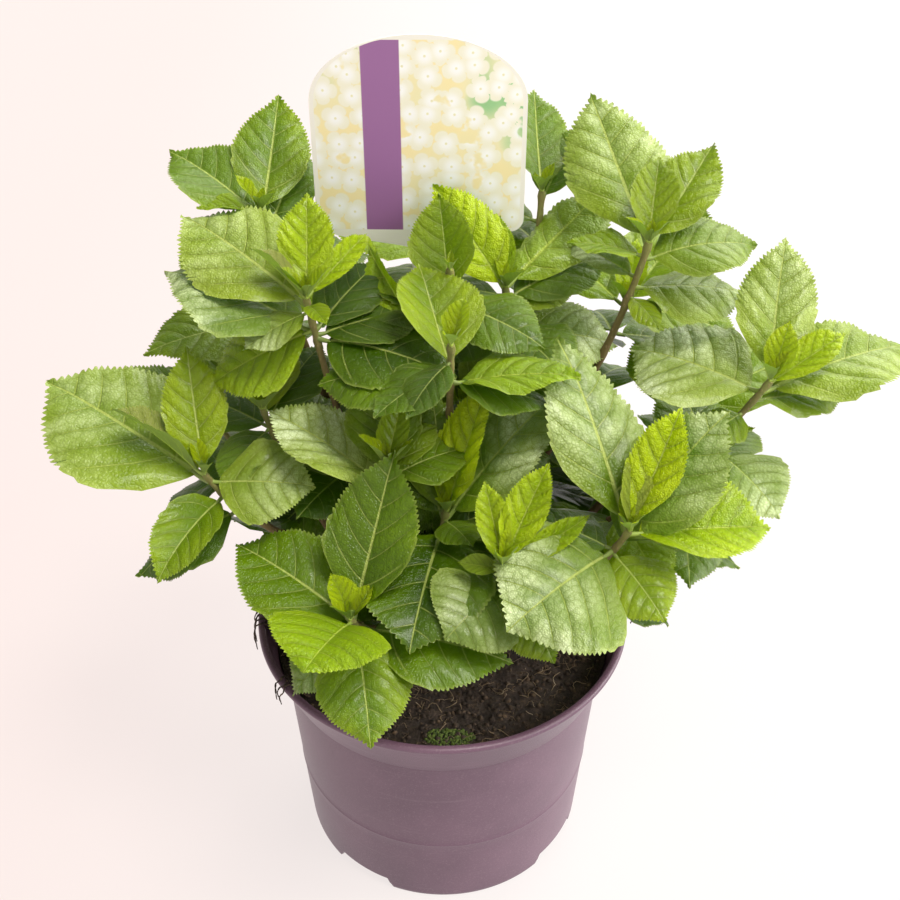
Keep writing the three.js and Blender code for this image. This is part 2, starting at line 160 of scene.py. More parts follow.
SPRAYS = {
    "left": [
        Leaf(150, 12, 124, 0.46, 0.76, 16, 8, -12, 6, 0, 0.35),
        Leaf(-6, 0, 60, 0.46, 0.94, 24, 10, 24, 6, 0, 0.4),
        Leaf(104, 54, 72, 0.55, 0.56, -8, 24, 0),
        Leaf(166, 36, 62, 0.6, 0.56, 18, 46, 24, 0, 0.7),
        Leaf(-121, -14, 66, 0.36, 0.62, 40, 34, -12, 18),
        Leaf(80, -5, 68, 0.08, 0.7, 24, 10, 6, 18),
    ],
    "upper_left": [
        Leaf(142, 17, 96, 0.54, 0.72, 16, 8, -14, 5, 0, 0.3),
        Leaf(162, 15, 92, 0.34, 0.84, 26, 8, 0, 22, 0, 0.6),
        Leaf(90, 44, 60, 0.8, 0.58, -6, 26, -4),
        Leaf(54, 19, 56, 0.8, 0.36, 16, 50, 40),
        Leaf(-174, -29, 68, 0.62, 0.8, 20, 8, -26, 20),
        Leaf(-152, -20, 42, 0.5, 0.8, 24, 10, 0, 8, 0, 0.5),
        Leaf(14, 4, 68, 0.1, 0.82, 24, 10, 6, 24),
        Leaf(165, 44, 40, 0.6, 0.6, 14, 40, 20, 0, 0.8),
        Leaf(-60, -4, 22, 0.7, 0.7, 40, 22, 0, 4),
        Leaf(54, 17, 62, 0.1, 0.66, 20, 14, 10, 22),
        Leaf(-22, -4, 84, 0.08, 0.74, 30, 8, 16, 26),
    ],
    "back_left": [
        Leaf(85, 32, 84, 0.34, 0.58, -10, 14, 6, 4),
        Leaf(147, 19, 72, 0.27, 0.76, 24, 16, -8, 4),
        Leaf(70, 24, 66, 0.22, 0.6, 14, 16, 4, 14),
        Leaf(120, -15, 80, 0.14, 0.66, 34, 10, 0, 24),
        Leaf(30, -20, 70, 0.18, 0.66, 34, 10, 0, 24),
        Leaf(-165, 10, 36, 0.6, 0.6, 10, 30, 0),
    ],
    "mid_left": [
        Leaf(94, 32, 58, 0.56, 0.8, -8, 26, 0, 6),
        Leaf(59, 23, 60, 0.1, 0.8, 24, 12, 0, 8),
        Leaf(30, -5, 46, 0.3, 0.7, 24, 12, 10, 8),
        Leaf(150, 5, 60, 0.16, 0.7, 24, 10, -10, 12),
        Leaf(-120, -15, 50, 0.3, 0.7, 34, 12, 0, 12),
    ],
    "centre": [
        Leaf(105, 31, 67, 0.48, 0.9, -16, 34, 14, 20),
        Leaf(-2, 6, 70, 0.6, 0.76, 14, 24, -8, 32),
        Leaf(-10, -12, 58, 0.14, 0.74, 24, 10, 0, 30),
        Leaf(-142, -14, 52, 0.12, 0.72, 26, 12, 0, 16),
        Leaf(-124, -18, 44, 0.14, 0.7, 34, 14, 8, 12),
        Leaf(120, 28, 108, 0.72, 0.24, 14, 46, -66, 34),
        Leaf(177, -10, 74, 0.18, 0.8, 26, 10, -8, 20),
        Leaf(66, 50, 26, 0.84, 0.7, 10, 36, 0),
    ],
    "mid_back": [
        Leaf(101, 60, 58, 0.42, 0.76, -4, 30, -25, 20),
        Leaf(163, 2, 50, 0.14, 0.7, 24, 12, 0, 22),
        Leaf(-30, -10, 62, 0.2, 0.74, 28, 12, 16, 22),
        Leaf(-150, -16, 60, 0.12, 0.72, 34, 12, -10, 24),
    ],
    "label_foot": [
        Leaf(46, 22, 100, 0.64, 0.45, -10, -8, 8, 0, 0, 0.3),
        Leaf(20, 0, 46, 0.5, 0.56, 22, 16, 26, 10),
        Leaf(28, 10, 70, 0.2, 0.62, 20, 12, 10, 7),
        Leaf(152, 50, 73, 0.86, 0.58, 12, 20, -30, 2),
        Leaf(100, 50, 42, 0.7, 0.42, 8, 36, 0),
        Leaf(176, 3, 56, 0.16, 0.6, 20, 12, 0, 5),
        Leaf(-128, -16, 56, 0.14, 0.8, 30, 10, 0, 12),
        Leaf(-52, -10, 58, 0.16, 0.92, 30, 8, 14, 24),
        Leaf(-4, -8, 68, 0.42, 0.86, 34, 8, 20, 28, 0, 0.6),
        Leaf(160, -5, 50, 0.16, 0.72, 30, 12, 0, 22),
    ],
    "back_centre": [
        Leaf(91, 28, 78, 0.3, 0.6, -4, 20, 20),
        Leaf(62, 25, 62, 0.26, 0.66, 14, 14, 0, 6),
        Leaf(150, 0, 60, 0.24, 0.7, 28, 12, 0, 18),
        Leaf(0, -34, 60, 0.16, 0.66, 28, 12, 10, 18),
        Leaf(110, -20, 80, 0.2, 0.68, 34, 10, 0, 30),
    ],
    "upper_right": [
        Leaf(103, 24, 116, 0.46, 0.57, -6, 20, -10, 2, 0, 0.35),
        Leaf(50, 28, 76, 0.57, 0.56, -8, 24, 10),
        Leaf(80, 46, 50, 0.54, 0.62, 6, 30, 4),
        Leaf(8, 3, 66, 0.46, 0.84, 46, 12, 14, 10, 0, 0.2),
        Leaf(3, -7, 68, 0.5, 0.84, 20, -16, 6, 28, 0, 0.4),
        Leaf(128, -2, 58, 0.36, 0.42, 30, 24, -16, 22, 0, 0.6),
        Leaf(-60, -14, 30, 0.5, 0.7, 30, 16, 0, 34),
        Leaf(166, 4, 44, 0.6, 0.7, 20, 14, 0, 8),
    ],
    "right": [
        Leaf(80, 41, 84, 0.56, 0.58, -8, 20, 4, 0, 0, 0.35),
        Leaf(22, 5, 98, 0.54, 0.62, 28, 10, 12, 8, 0, 0.3),
        Leaf(25, 22, 54, 0.84, 0.5, 6, 46, 30, 3),
        Leaf(143, -2, 82, 0.54, 0.96, 24, 8, -10, 8, 0, 1.1),
        Leaf(14, -8, 58, 0.44, 0.62, 24, 16, 18, 14),
        Leaf(-140, -10, 36, 0.46, 0.9, 30, 8, -6, 24),
        Leaf(60, 54, 34, 0.9, 0.62, 10, 36, 10),
    ],
    "low_right": [
        Leaf(-50, -22, 50, 0.46, 1.15, 26, 8, 4, 1, 0, 0.5),
        Leaf(53, -9, 50, 0.34, 0.7, 28, 10, 0, 6),
        Leaf(100, 0, 76, 0.3, 0.7, 24, 12, 0, 6),
    ],
    "right_front": [
        Leaf(109, 37, 114, 0.42, 0.52, 10, 14, 8, 2, 0, 0.6),
        Leaf(52, 50, 70, 0.92, 0.52, -4, 34, 6),
        Leaf(4, -1, 78, 0.72, 0.84, 12, 32, 12, 3),
        Leaf(84, 50, 40, 0.76, 0.6, 14, 40, 24, 0, 0.4),
        Leaf(-142, -8, 79, 0.44, 1.18, 30, 4, -20, 18, 0, 0.8),
        Leaf(-60, -14, 50, 0.56, 0.9, 30, 10, 10, 20),
        Leaf(30, 47, 94, 0.44, 0.66, 20, 10, 14, 16, 0, 0.5),
        Leaf(52, 14, 74, 0.24, 0.7, 20, 12, 14, 16),
        Leaf(154, 4, 52, 0.1, 0.8, 24, 10, 0, 18),
    ],
    "front_right": [
        Leaf(58, 42, 60, 0.76, 0.5, -6, 40, 14),
        Leaf(106, 46, 46, 0.78, 0.5, 4, 40, -14),
        Leaf(24, 18, 56, 0.76, 0.42, 8, 60, 40, 4),
        Leaf(176, 6, 24, 0.6, 0.6, 10, 40, -36, 3, 0.2),
        Leaf(-134, -8, 48, 0.44, 1.3, 34, 10, -20, 20, 0, 0.5),
        Leaf(-54, -22, 50, 0.46, 0.84, 30, 10, 0, 24),
        Leaf(44, 6, 66, 0.14, 0.76, 24, 12, 14, 22),
    ],
    "front_left": [
        Leaf(68, 51, 94, 0.26, 0.62, -6, 18, -6, 3),
        Leaf(146, 13, 86, 0.26, 0.72, 26, 12, -14, 10),
        Leaf(-113, 14, 56, 0.63, 1.34, 24, 20, 0, 2),
        Leaf(-80, -30, 68, 0.38, 0.8, 30, 8, 0, 8),
        Leaf(-141, -20, 54, 0.44, 0.84, 34, 12, 0, 20, 0, 0.4),
        Leaf(-16, -6, 86, 0.24, 0.72, 34, 8, 12, 16),
        Leaf(128, 50, 27, 0.9, 0.8, 20, 40, 0),
        Leaf(40, 44, 24, 0.94, 0.6, 20, 34, 0),
    ],
    "heart": [
        Leaf(38, 67, 78, 0.97, 0.56, 6, 28, -6, 0),
        Leaf(28, 42, 94, 0.46, 0.78, 14, 12, 0, 6, 0, 0.75),
        Leaf(-103, -12, 86, 0.08, 0.98, 26, 10, 0, 10),
        Leaf(24, 0, 72, 0.12, 0.74, 28, 12, 10, 14),
        Leaf(120, 30, 56, 0.26, 0.8, 20, 16, 0, 6),
        Leaf(-40, -20, 64, 0.14, 0.8, 30, 12, 0, 20),
        Leaf(-64, 11, 36, 0.34, 0.8, 20, 10, 0, 6),
        Leaf(98, 55, 71, 0.32, 0.66, 8, 14, 0, 5),
    ],
    "heart_left": [
        Leaf(151, 20, 84, 0.56, 0.66, 20, 28, -4, 16, 0, 0.8),
        Leaf(20, 10, 52, 0.3, 0.8, 26, 10, 6, 8),
        Leaf(96, 30, 56, 0.32, 0.84, 20, 16, 0, 6),
        Leaf(73, 44, 36, 0.66, 0.6, 14, 34, 0),
        Leaf(76, 26, 58, 0.42, 0.8, 16, 14, 0, 10),
    ],
    "back": [
        Leaf(85, 20, 92, 0.5, 0.66, 20, 12, 4, 2),
        Leaf(175, 10, 74, 0.6, 0.66, 18, 16, -8, 2),
        Leaf(-5, 5, 72, 0.5, 0.66, 24, 14, 8, 2),
        Leaf(120, -20, 86, 0.26, 0.7, 28, 10, 0, 20),
        Leaf(50, -22, 84, 0.3, 0.7, 28, 10, 0, 20),
        Leaf(100, 50, 44, 0.86, 0.6, 10, 34, 0),
    ],
    "back_right": [
        Leaf(50, 20, 98, 0.46, 0.66, 22, 12, 0, 2),
        Leaf(135, 15, 84, 0.6, 0.64, 20, 14, -6, 2),
        Leaf(-30, 0, 78, 0.5, 0.68, 26, 12, 8, 2),
        Leaf(95, -22, 84, 0.24, 0.7, 30, 10, 0, 20),
        Leaf(10, -22, 84, 0.28, 0.7, 30, 10, 0, 20),
        Leaf(70, 50, 42, 0.88, 0.6, 10, 34, 0),
    ],
    "low_back_left": [
        Leaf(130, 20, 98, 0.46, 0.66, 22, 12, 0, 2),
        Leaf(50, 15, 80, 0.6, 0.66, 20, 14, 6, 2),
        Leaf(-150, 0, 84, 0.44, 0.68, 28, 12, -8, 2),
        Leaf(165, -22, 82, 0.24, 0.7, 30, 10, 0, 20),
        Leaf(90, -22, 82, 0.28, 0.7, 30, 10, 0, 20),
        Leaf(110, 50, 42, 0.88, 0.6, 10, 34, 0),
    ],
    "low_left": [
        Leaf(160, 12, 90, 0.42, 0.66, 22, 12, -8, 2),
        Leaf(90, 15, 74, 0.56, 0.66, 20, 14, 6, 2),
        Leaf(-60, -20, 50, 0.2, 0.7, 34, 12, 0, 12),
        Leaf(125, -25, 76, 0.24, 0.7, 30, 10, 0, 20),
        Leaf(120, 50, 38, 0.84, 0.6, 10, 34, 0),
    ],
    "low_east": [
        Leaf(20, 15, 94, 0.44, 0.66, 22, 12, 8, 2),
        Leaf(95, 18, 74, 0.56, 0.66, 20, 14, -6, 2),
        Leaf(-50, -10, 76, 0.24, 0.7, 30, 12, 0, 12),
        Leaf(60, -25, 78, 0.24, 0.7, 30, 10, 0, 20),
        Leaf(60, 50, 38, 0.84, 0.6, 10, 34, 0),
    ],
}

# Which stem each shoot's bough leaves, and which piece its leaves are gathered into
STEM_OF = {
    "left": "west", "mid_left": "west", "low_left": "west",
    "upper_left": "north_west", "back_left": "north_west", "low_back_left": "north_west",
    "centre": "north", "mid_back": "north", "back": "north",
    "label_foot": "north_east", "back_centre": "north_east", "upper_right": "north_east",
    "back_right": "north_east",
    "right": "east", "low_right": "east", "low_east": "east",
    "right_front": "south_east", "front_right": "south_east",
    "front_left": "south_west", "heart": "south_west", "heart_left": "south_west",
}
STEMS = sorted(set(STEM_OF.values()))
SECTORS = {
    "left": ("left", "mid_left", "low_left", "upper_left"),
    "back": ("back_left", "low_back_left", "back", "back_centre", "back_right"),
    "right": ("upper_right", "right", "low_right", "low_east"),
    "middle": ("centre", "mid_back", "label_foot", "heart"),
    "front": ("right_front", "front_right", "front_left", "heart_left"),
}
SHOOTS = [(sector, shoot) for sector, shoots in SECTORS.items() for shoot in shoots]

# The rule's own sizes: the step between pairs of leaves, how many drafts it makes of each leaf and twig, how
# long a twig is, the room that a leaf and a twig's tip need, how far from the tip a twig's leaves reach, how
# far leaves keep inside the part's box and from its other pieces, and the shoots whose tips are at rest
NODE_STEP = 33 * MM
TRIES = 26
TWIG_TRIES = 24
TWIG_LENGTH = (34, 52)
KEEP_CLEAR = 6 * MM
TWIG_CLEAR = 12 * MM
TWIG_LEAF_REACH = 16 * MM
BOX_MARGIN = 3 * MM
PIECE_MARGIN = 5 * MM
RESTING = ("mid_back",)

# The range of each field of a leaf that the rule grows, with the swing of its bearing first
# The rule's leaves keep to dark tones, partly as older leaves and partly as painted shade deep in the bush
OLD_LEAF_RANGES = ((-55, 55), (-30, 16), (66, 94), (0.02, 0.3), (0.62, 0.74), (16, 40), (4, 16), (-20, 20))
TWIG_LEAF_RANGES = ((-30, 30), (-10, 34), (42, 66), (0.3, 0.62), (0.58, 0.7), (8, 28), (8, 24), (-16, 16))

# Where a leaf is measured, along and across it, how many of those spots lie by its foot, and the angles, in
# radians, within which one leaf covers another and beyond which it breaks the crown's outline
SPOTS = tuple((along, wide) for along in (0.2, 0.4, 0.6, 0.8) for wide in (-0.85, 0, 0.85)) + ((1, 0),)
BLADE_FOOT = 3
COVER_GAP = 0.013
OUTLINE_GAP = 0.015

# Colours of the leaves, from the oldest to the youngest, and of their veins and their glow against the light
MATURE_TONES = ((0.025, 0.058, 0.0), (0.104, 0.174, 0.0), (0.262, 0.345, 0.002), (0.4, 0.48, 0.004))
YOUNG_TONES = ((0.08, 0.14, 0.0), (0.12, 0.2, 0.0), (0.21, 0.31, 0.0), (0.44, 0.55, 0.0))
BACK_TONES = ((0.13, 0.18, 0.06), (0.2, 0.27, 0.08), (0.3, 0.4, 0.1))
VEIN_MATURE = (0.56, 0.64, 0.15)
VEIN_YOUNG = (0.6, 0.7, 0.1)
GLOW_MATURE = (0.36, 0.6, 0.02)
GLOW_YOUNG = (0.62, 0.84, 0.02)
# A pale painted sheen, laid in patches on the leaves' faces where a glossy face would catch the light
PAINTED_SHEEN = (0.6, 0.68, 0.38)
BRONZE = (0.27, 0.23, 0.09)
GLOW_SHARE = 0.36


# ---------------------------------------------------------------------------------------------------------
# Node trees: sums on sockets, and one way of making every other node
# ---------------------------------------------------------------------------------------------------------
class Value:
    """A node's output that sums can be written on."""

    def __init__(self, plan, socket):
        self.plan = plan
        self.socket = socket

    def __add__(self, other):
        return self.plan.maths("ADD", self, other)

    def __sub__(self, other):
        return self.plan.maths("SUBTRACT", self, other)

    def __rsub__(self, other):
        return self.plan.maths("SUBTRACT", other, self)

    def __mul__(self, other):
        return self.plan.maths("MULTIPLY", self, other)

    def __truediv__(self, other):
        return self.plan.maths("DIVIDE", self, other)

    def __lt__(self, other):
        return self.plan.maths("LESS_THAN", self, other)

    def __abs__(self):
        return self.plan.maths("ABSOLUTE", self)

    __radd__ = __add__
    __rmul__ = __mul__


class Plan:
    """A node tree being drawn up."""

    def __init__(self, tree):
        self.tree = tree

    def feed(self, socket, value):
        if isinstance(value, Value):
            self.tree.links.new(value.socket, socket)
        else:
            socket.default_value = value

    def node(self, kind, settings=None, inputs=None, output=0):
        """Makes one node: its settings first, then its sockets, by name or by number."""
        made = self.tree.nodes.new(kind)
        for name, setting in (settings or {}).items():
            if name == "stops":
                self.set_stops(made.color_ramp, setting)
            else:
                setattr(made, name, setting)
        for key, value in (inputs or {}).items():
            self.feed(made.inputs[key], value)
        return Value(self, made.outputs[output])

    @staticmethod
    def set_stops(ramp, stops):
        while len(ramp.elements) < len(stops):
            ramp.elements.new(1.0)
        for element, (place, colour) in zip(ramp.elements, stops):
            element.position = place
            element.color = (*colour, 1.0)

    def maths(self, operation, *values):
        return self.node("ShaderNodeMath", {"operation": operation}, dict(enumerate(values)))

    def outputs(self, value):
        """The first three outputs of the node that a value comes from."""
        return [Value(self, socket) for socket in value.socket.node.outputs[:3]]

    def split(self, vector):
        """The three numbers of a vector."""
        return self.outputs(self.node("ShaderNodeSeparateXYZ", None, {0: vector}))

    def step_down(self, value, near, far):
        """1 where the value is below near, falling smoothly to 0 at far."""
        return self.node("ShaderNodeMapRange", {"interpolation_type": "SMOOTHSTEP"},
                         {"Value": value, "From Min": near, "From Max": far, "To Min": 1.0, "To Max": 0.0})

    def step_up(self, value, near, far):
        return self.node("ShaderNodeMapRange", {"interpolation_type": "SMOOTHSTEP"},
                         {"Value": value, "From Min": near, "From Max": far, "To Min": 0.0, "To Max": 1.0})


class Finish(Plan):
    """A material being drawn up."""

    def __init__(self, name):
        self.material = bpy.data.materials.new(name)
        self.material.use_nodes = True
        super().__init__(self.material.node_tree)
        self.tree.nodes.clear()
        self.out = self.tree.nodes.new("ShaderNodeOutputMaterial")

    def place(self):
        return self.node("ShaderNodeTexCoord", output="Object")

    def mapped(self, scale):
        return self.node("ShaderNodeMapping", None, {"Vector": self.place(), "Scale": scale})

    def attribute(self, name):
        return self.node("ShaderNodeAttribute", {"attribute_name": name}, output="Fac")

    def chart(self, name):
        """The two coordinates of a UV map, and the map itself."""
        whole = self.node("ShaderNodeUVMap", {"uv_map": name})
        return *self.split(whole)[:2], whole

    def noise(self, vector, scale, detail=3.0, roughness=0.5):
        return self.node("ShaderNodeTexNoise", None,
                         {"Vector": vector, "Scale": scale, "Detail": detail, "Roughness": roughness})

    def mix(self, factor, first, second):
        sockets = {0: factor, 6: self.colour(first), 7: self.colour(second)}
        return self.node("ShaderNodeMix", {"data_type": "RGBA"}, sockets, output=2)

    @staticmethod
    def colour(value):
        return value if isinstance(value, Value) else (*value, 1.0)

    def scaled(self, colour, amount):
        """A colour made lighter or darker by a number that varies."""
        return self.node("ShaderNodeVectorMath", {"operation": "SCALE"}, {0: colour, "Scale": amount})

    def ramp(self, value, *stops):
        return self.node("ShaderNodeValToRGB", {"stops": stops}, {0: value})

    def bump(self, height, depth):
        return self.node("ShaderNodeBump", None, {"Height": height, "Distance": depth, "Strength": 1.0})

    def surface(self, inputs):
        return self.node("ShaderNodeBsdfPrincipled", None, inputs)

    def close(self, shader):
        self.tree.links.new(shader.socket, self.out.inputs["Surface"])
        return self.material

    def close_leaf(self, skin, glow):
        """Closes a blade's finish, through which some of the light behind it glows."""
        back = self.node("ShaderNodeBsdfTranslucent", None, {"Color": (*glow, 1.0)})
        return self.close(self.node("ShaderNodeMixShader", None, {0: GLOW_SHARE, 1: skin, 2: back}))


# ---------------------------------------------------------------------------------------------------------
# Meshes
# ---------------------------------------------------------------------------------------------------------
def placed(name, data):
    """A new object in the scene, at the origin."""
    made = bpy.data.objects.new(name, data)
    bpy.context.scene.collection.objects.link(made)
    return made


class Gathering:
    """Closed bodies gathered into one mesh, with the values and maps that their finish reads."""

    def __init__(self):
        self.points, self.faces, self.slots = [], [], []
        self.values, self.maps = {}, {}
        self.count = 0

    def add(self, points, faces, slots=None, values=None, maps=None):
        """faces are arrays of corners, one array to each number of sides; maps give a pair to each corner."""
        for index, block in enumerate(faces):
            self.faces.append(block + self.count)
            self.slots.append(np.full(len(block), slots[index] if slots else 0))
        self.points.append(points)
        for name, value in (values or {}).items():
            self.values.setdefault(name, []).append(np.broadcast_to(value, len(points)))
        for name, corners in (maps or {}).items():
            self.maps.setdefault(name, []).extend(block.reshape(-1, 2) for block in corners)
        self.count += len(points)

    def build(self, name, materials, crease=60):
        mesh = bpy.data.meshes.new(name)
        points = np.concatenate(self.points)
        sides = np.concatenate([np.full(len(block), block.shape[1]) for block in self.faces])
        corners = np.concatenate([block.ravel() for block in self.faces])
        mesh.vertices.add(len(points))
        mesh.vertices.foreach_set("co", points.astype(np.float32).ravel())
        mesh.loops.add(len(corners))
        mesh.loops.foreach_set("vertex_index", corners.astype(np.int32))
        mesh.polygons.add(len(sides))
        mesh.polygons.foreach_set("loop_start", (np.cumsum(sides) - sides).astype(np.int32))
        mesh.polygons.foreach_set("material_index", np.concatenate(self.slots).astype(np.int32))
        mesh.polygons.foreach_set("use_smooth", np.ones(len(sides), bool))
        for label, blocks in self.maps.items():
            layer = mesh.uv_layers.new(name=label)
            layer.data.foreach_set("uv", np.concatenate(blocks).astype(np.float32).ravel())
        for label, blocks in self.values.items():
            layer = mesh.attributes.new(label, "FLOAT", "POINT")
            layer.data.foreach_set("value", np.concatenate(blocks).astype(np.float32))
        mesh.update(calc_edges=True)
        mesh.validate()
        mesh.set_sharp_from_angle(angle=math.radians(crease))
        for material in materials:
            mesh.materials.append(material)
        return placed(name, mesh)


def mount(piece, slot, *nodes):
    """Sets a finished piece on the part."""
    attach(piece, "root")
    if nodes:
        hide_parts(*nodes)


def unit(vector):
    vector = np.asarray(vector, float)
    return vector / np.linalg.norm(vector)


def smooth(value, low, high):
    share = np.clip((np.asarray(value, float) - low) / (high - low), 0, 1)
    return share * share * (3 - 2 * share)


def length_of(line):
    return np.linalg.norm(np.diff(line, axis=0), axis=1).sum()


def circle(segments):
    """The bearings of a ring's corners."""
    return np.linspace(0, 2 * math.pi, segments, endpoint=False)


def level_ring(radius, angle, height):
    """A ring of points about the upright axis."""
    height = np.broadcast_to(height, angle.shape)
    return np.stack([radius * np.cos(angle), radius * np.sin(angle), height], -1)


def ring_faces(rings, sides):
    """Quads between successive rings of a tube whose faces point outwards."""
    ring, side = np.meshgrid(np.arange(rings - 1), np.arange(sides), indexing="ij")
    low = ring * sides
    high = low + sides
    after = (side + 1) % sides
    return np.stack([low + side, low + after, high + after, high + side], -1).reshape(-1, 4)


def capped(rings, foot, head):
    """A closed body through rings of points, with a fan from each end ring to a point."""
    count, sides = rings.shape[:2]
    points = np.concatenate([rings.reshape(-1, 3), [foot, head]])
    first = np.arange(sides)
    after = (first + 1) % sides
    last = (count - 1) * sides
    low = np.stack([np.full(sides, len(points) - 2), after, first], -1)
    high = np.stack([np.full(sides, len(points) - 1), last + first, last + after], -1)
    return points, [ring_faces(count, sides), low, high]


def tube(line, radii, sides, relief=None):
    """A closed tube along a line of points. relief multiplies the radius at each ring and side."""
    line = np.asarray(line, float)
    tangents = np.gradient(line, axis=0)
    tangents /= np.linalg.norm(tangents, axis=1, keepdims=True)
    across = unit(np.cross(tangents[0], (0.31, 0.77, 0.55)))
    angle = circle(sides)[:, None]
    if relief is None:
        relief = np.ones((len(line), sides))
    rings = []
    for place, tangent, out in zip(line, tangents, np.asarray(radii, float)[:, None] * relief):
        across = unit(across - tangent * np.dot(across, tangent))
        side = np.cross(tangent, across)
        rings.append(place + out[:, None] * (np.cos(angle) * across + np.sin(angle) * side))
    return capped(np.array(rings), line[0], line[-1])


def curved(points, steps):
    """A smooth line through a few points, evenly divided in its own parameter."""
    points = np.asarray(points, float)
    ends = np.concatenate([[2 * points[0] - points[1]], points, [2 * points[-1] - points[-2]]])
    line = []
    for i in range(len(points) - 1):
        p0, p1, p2, p3 = ends[i:i + 4]
        for t in np.linspace(0, 1, steps, endpoint=False):
            line.append(0.5 * (2 * p1 + (p2 - p0) * t + (2 * p0 - 5 * p1 + 4 * p2 - p3) * t ** 2
                               + (3 * p1 - p0 - 3 * p2 + p3) * t ** 3))
    return np.array([*line, points[-1]])


# ---------------------------------------------------------------------------------------------------------
# Leaves
# ---------------------------------------------------------------------------------------------------------
def direction(bearing, rise):
    bearing, rise = math.radians(bearing), math.radians(rise)
    return np.array([math.cos(rise) * math.cos(bearing), math.cos(rise) * math.sin(bearing), math.sin(rise)])


def outline(along):
    """Half the blade's width at a share of its length, as a part of its widest half."""
    below = np.sin(math.pi / 2 * np.clip(along / WIDEST, 0, 1)) ** 0.72
    past = np.clip((along - WIDEST) / (1 - WIDEST), 0, 1)
    above = (1 - past ** 2) ** 1.05 - 0.1 * smooth(past, 0.5, 0.88) * (1 - smooth(past, 0.9, 1.0))
    return np.maximum(np.where(along < WIDEST, below, above), 0.004)


def vein_lift(reach):
    """How far a side vein has climbed along the leaf where it is a given reach from the midrib."""
    return VEIN_LEAN * reach + VEIN_CURVE * reach ** 2


def blade_grid(leaf, grade, rng):
    """The blade before it is bent, in leaf lengths: each point's row and column along the side veins, and
    its place along the blade, across it, and along it with the teeth. The rows follow the side veins, so
    each point's place is found by settling it against the outline a few times."""
    start = np.linspace(0, 1, grade.rows + 1)[:, None]
    column = np.array([*(-c for c in reversed(grade.columns)), 0.0, *grade.columns])[None, :]
    lean = smooth(start, 0.0, 0.2) * (1 - smooth(start, 0.86, 1.0) * 0.6)
    half = leaf.breadth / 2
    reach = min(half, VEIN_REACH)
    along = np.broadcast_to(start, (grade.rows + 1, column.shape[1])).copy()
    for _ in range(24):
        lift = lean * vein_lift(abs(column) * outline(along) * reach)
        along = 0.5 * along + 0.5 * np.minimum(start + lift, 1)
    along = np.maximum.accumulate(along, axis=0)
    across = column * outline(along) * half

    row = np.arange(grade.rows + 1)
    phase = (row % grade.tooth_rows) / grade.tooth_rows
    tooth = np.minimum(1.5 * phase, 1) ** 0.4
    size = 0.7 + 0.6 * rng.random(grade.rows + 1)
    depth = (0.015 + 0.01 * leaf.tone) * min(leaf.breadth, BROAD_BLADE) / 0.62
    edge = np.clip((abs(column) - 0.8) / 0.2, 0, 1) ** 1.5
    fade = smooth(along, 0.07, 0.2) * (1 - smooth(along, 0.95, 0.995))
    bite = depth * (tooth * size)[:, None] * fade * edge
    across = across + np.sign(column) * bite
    forward = along + 0.6 * bite
    return start, column, along, across, forward


def blade_swell(leaf, start, column, along, across, rng):
    """How far the flat blade rises and sinks: quilted between its side veins, curled down at its sides and
    rippled along its edges."""
    reach = abs(across)
    number = start * VEIN_COUNT + np.where(column < 0, VEIN_STAGGER, 0.0)
    swell = abs(np.sin(math.pi * number)) ** 0.8
    relief = (0.003 + 0.014 * leaf.tone) * (0.8 + 0.5 * rng.random())
    inside = smooth(reach, 0.0, 0.05) * (1 - smooth(abs(column), 0.72, 1.0))
    up = relief * swell * inside * smooth(along, 0.02, 0.15) * (1 - smooth(along, 0.9, 1))
    up = up - 0.006 * np.exp(-(reach / 0.012) ** 2) * (1 - 0.7 * along)

    curl = rng.uniform(0.02, 0.11) * (1 if leaf.fold < 30 else 0.3)
    up = up - curl * outline(along) * abs(column) ** 2.6
    wave = rng.uniform(0.016, 0.04)
    for side in (-1, 1):
        turn = rng.uniform(0, 2 * math.pi)
        ripple = wave * column ** 2 * np.sin(2 * math.pi * rng.uniform(1.3, 2.1) * along + turn)
        up = up + np.where(np.sign(column) == side, ripple * smooth(along, 0, 0.2), 0)
    return up + 0.006 * abs(column) ** 3 * np.sin(2 * math.pi * 6.5 * along + rng.uniform(0, 6))


def shape_blade(leaf, grade, rng):
    """The bent blade in leaf lengths: the (across, along, up) of its face, the way down from it, the depth
    of its midrib, and the grid it was bent from."""
    start, column, along, across, forward = blade_grid(leaf, grade, rng)
    up = blade_swell(leaf, start, column, along, across, rng)
    fold = math.radians(leaf.fold) * (1 - 0.35 * along)
    crease = 0.02
    wide = across * np.cos(fold)
    up = up * np.cos(fold) + (np.sqrt(across ** 2 + crease ** 2) - crease) * np.sin(fold)
    twist = math.radians(rng.uniform(-9, 9)) * (along - 0.3)
    wide, up = wide * np.cos(twist) - up * np.sin(twist), wide * np.sin(twist) + up * np.cos(twist)
    wide = wide + rng.uniform(-0.05, 0.05) * along ** 2

    bend = math.radians(leaf.bend + rng.uniform(-4, 4)) or 1e-3
    hook = math.radians(rng.uniform(4, 22)) * smooth(along, 0.72, 1.0)
    slope = bend * (0.5 - along)
    middle_along = (math.sin(bend / 2) - np.sin(slope)) / bend
    middle_up = (np.cos(slope) - math.cos(bend / 2)) / bend - 0.06 * hook * smooth(along, 0.72, 1.0)
    lead = forward - along
    body = np.stack([wide,
                     middle_along + lead * np.cos(slope) - up * np.sin(slope),
                     middle_up + lead * np.sin(slope) + up * np.cos(slope)], -1)
    below = np.stack([0 * slope, np.sin(slope), -np.cos(slope)], -1)
    rib = 0.011 * np.exp(-(across / 0.013) ** 2) * (1 - 0.8 * along)
    return body, below, rib, along, across, np.broadcast_to(start, along.shape), column


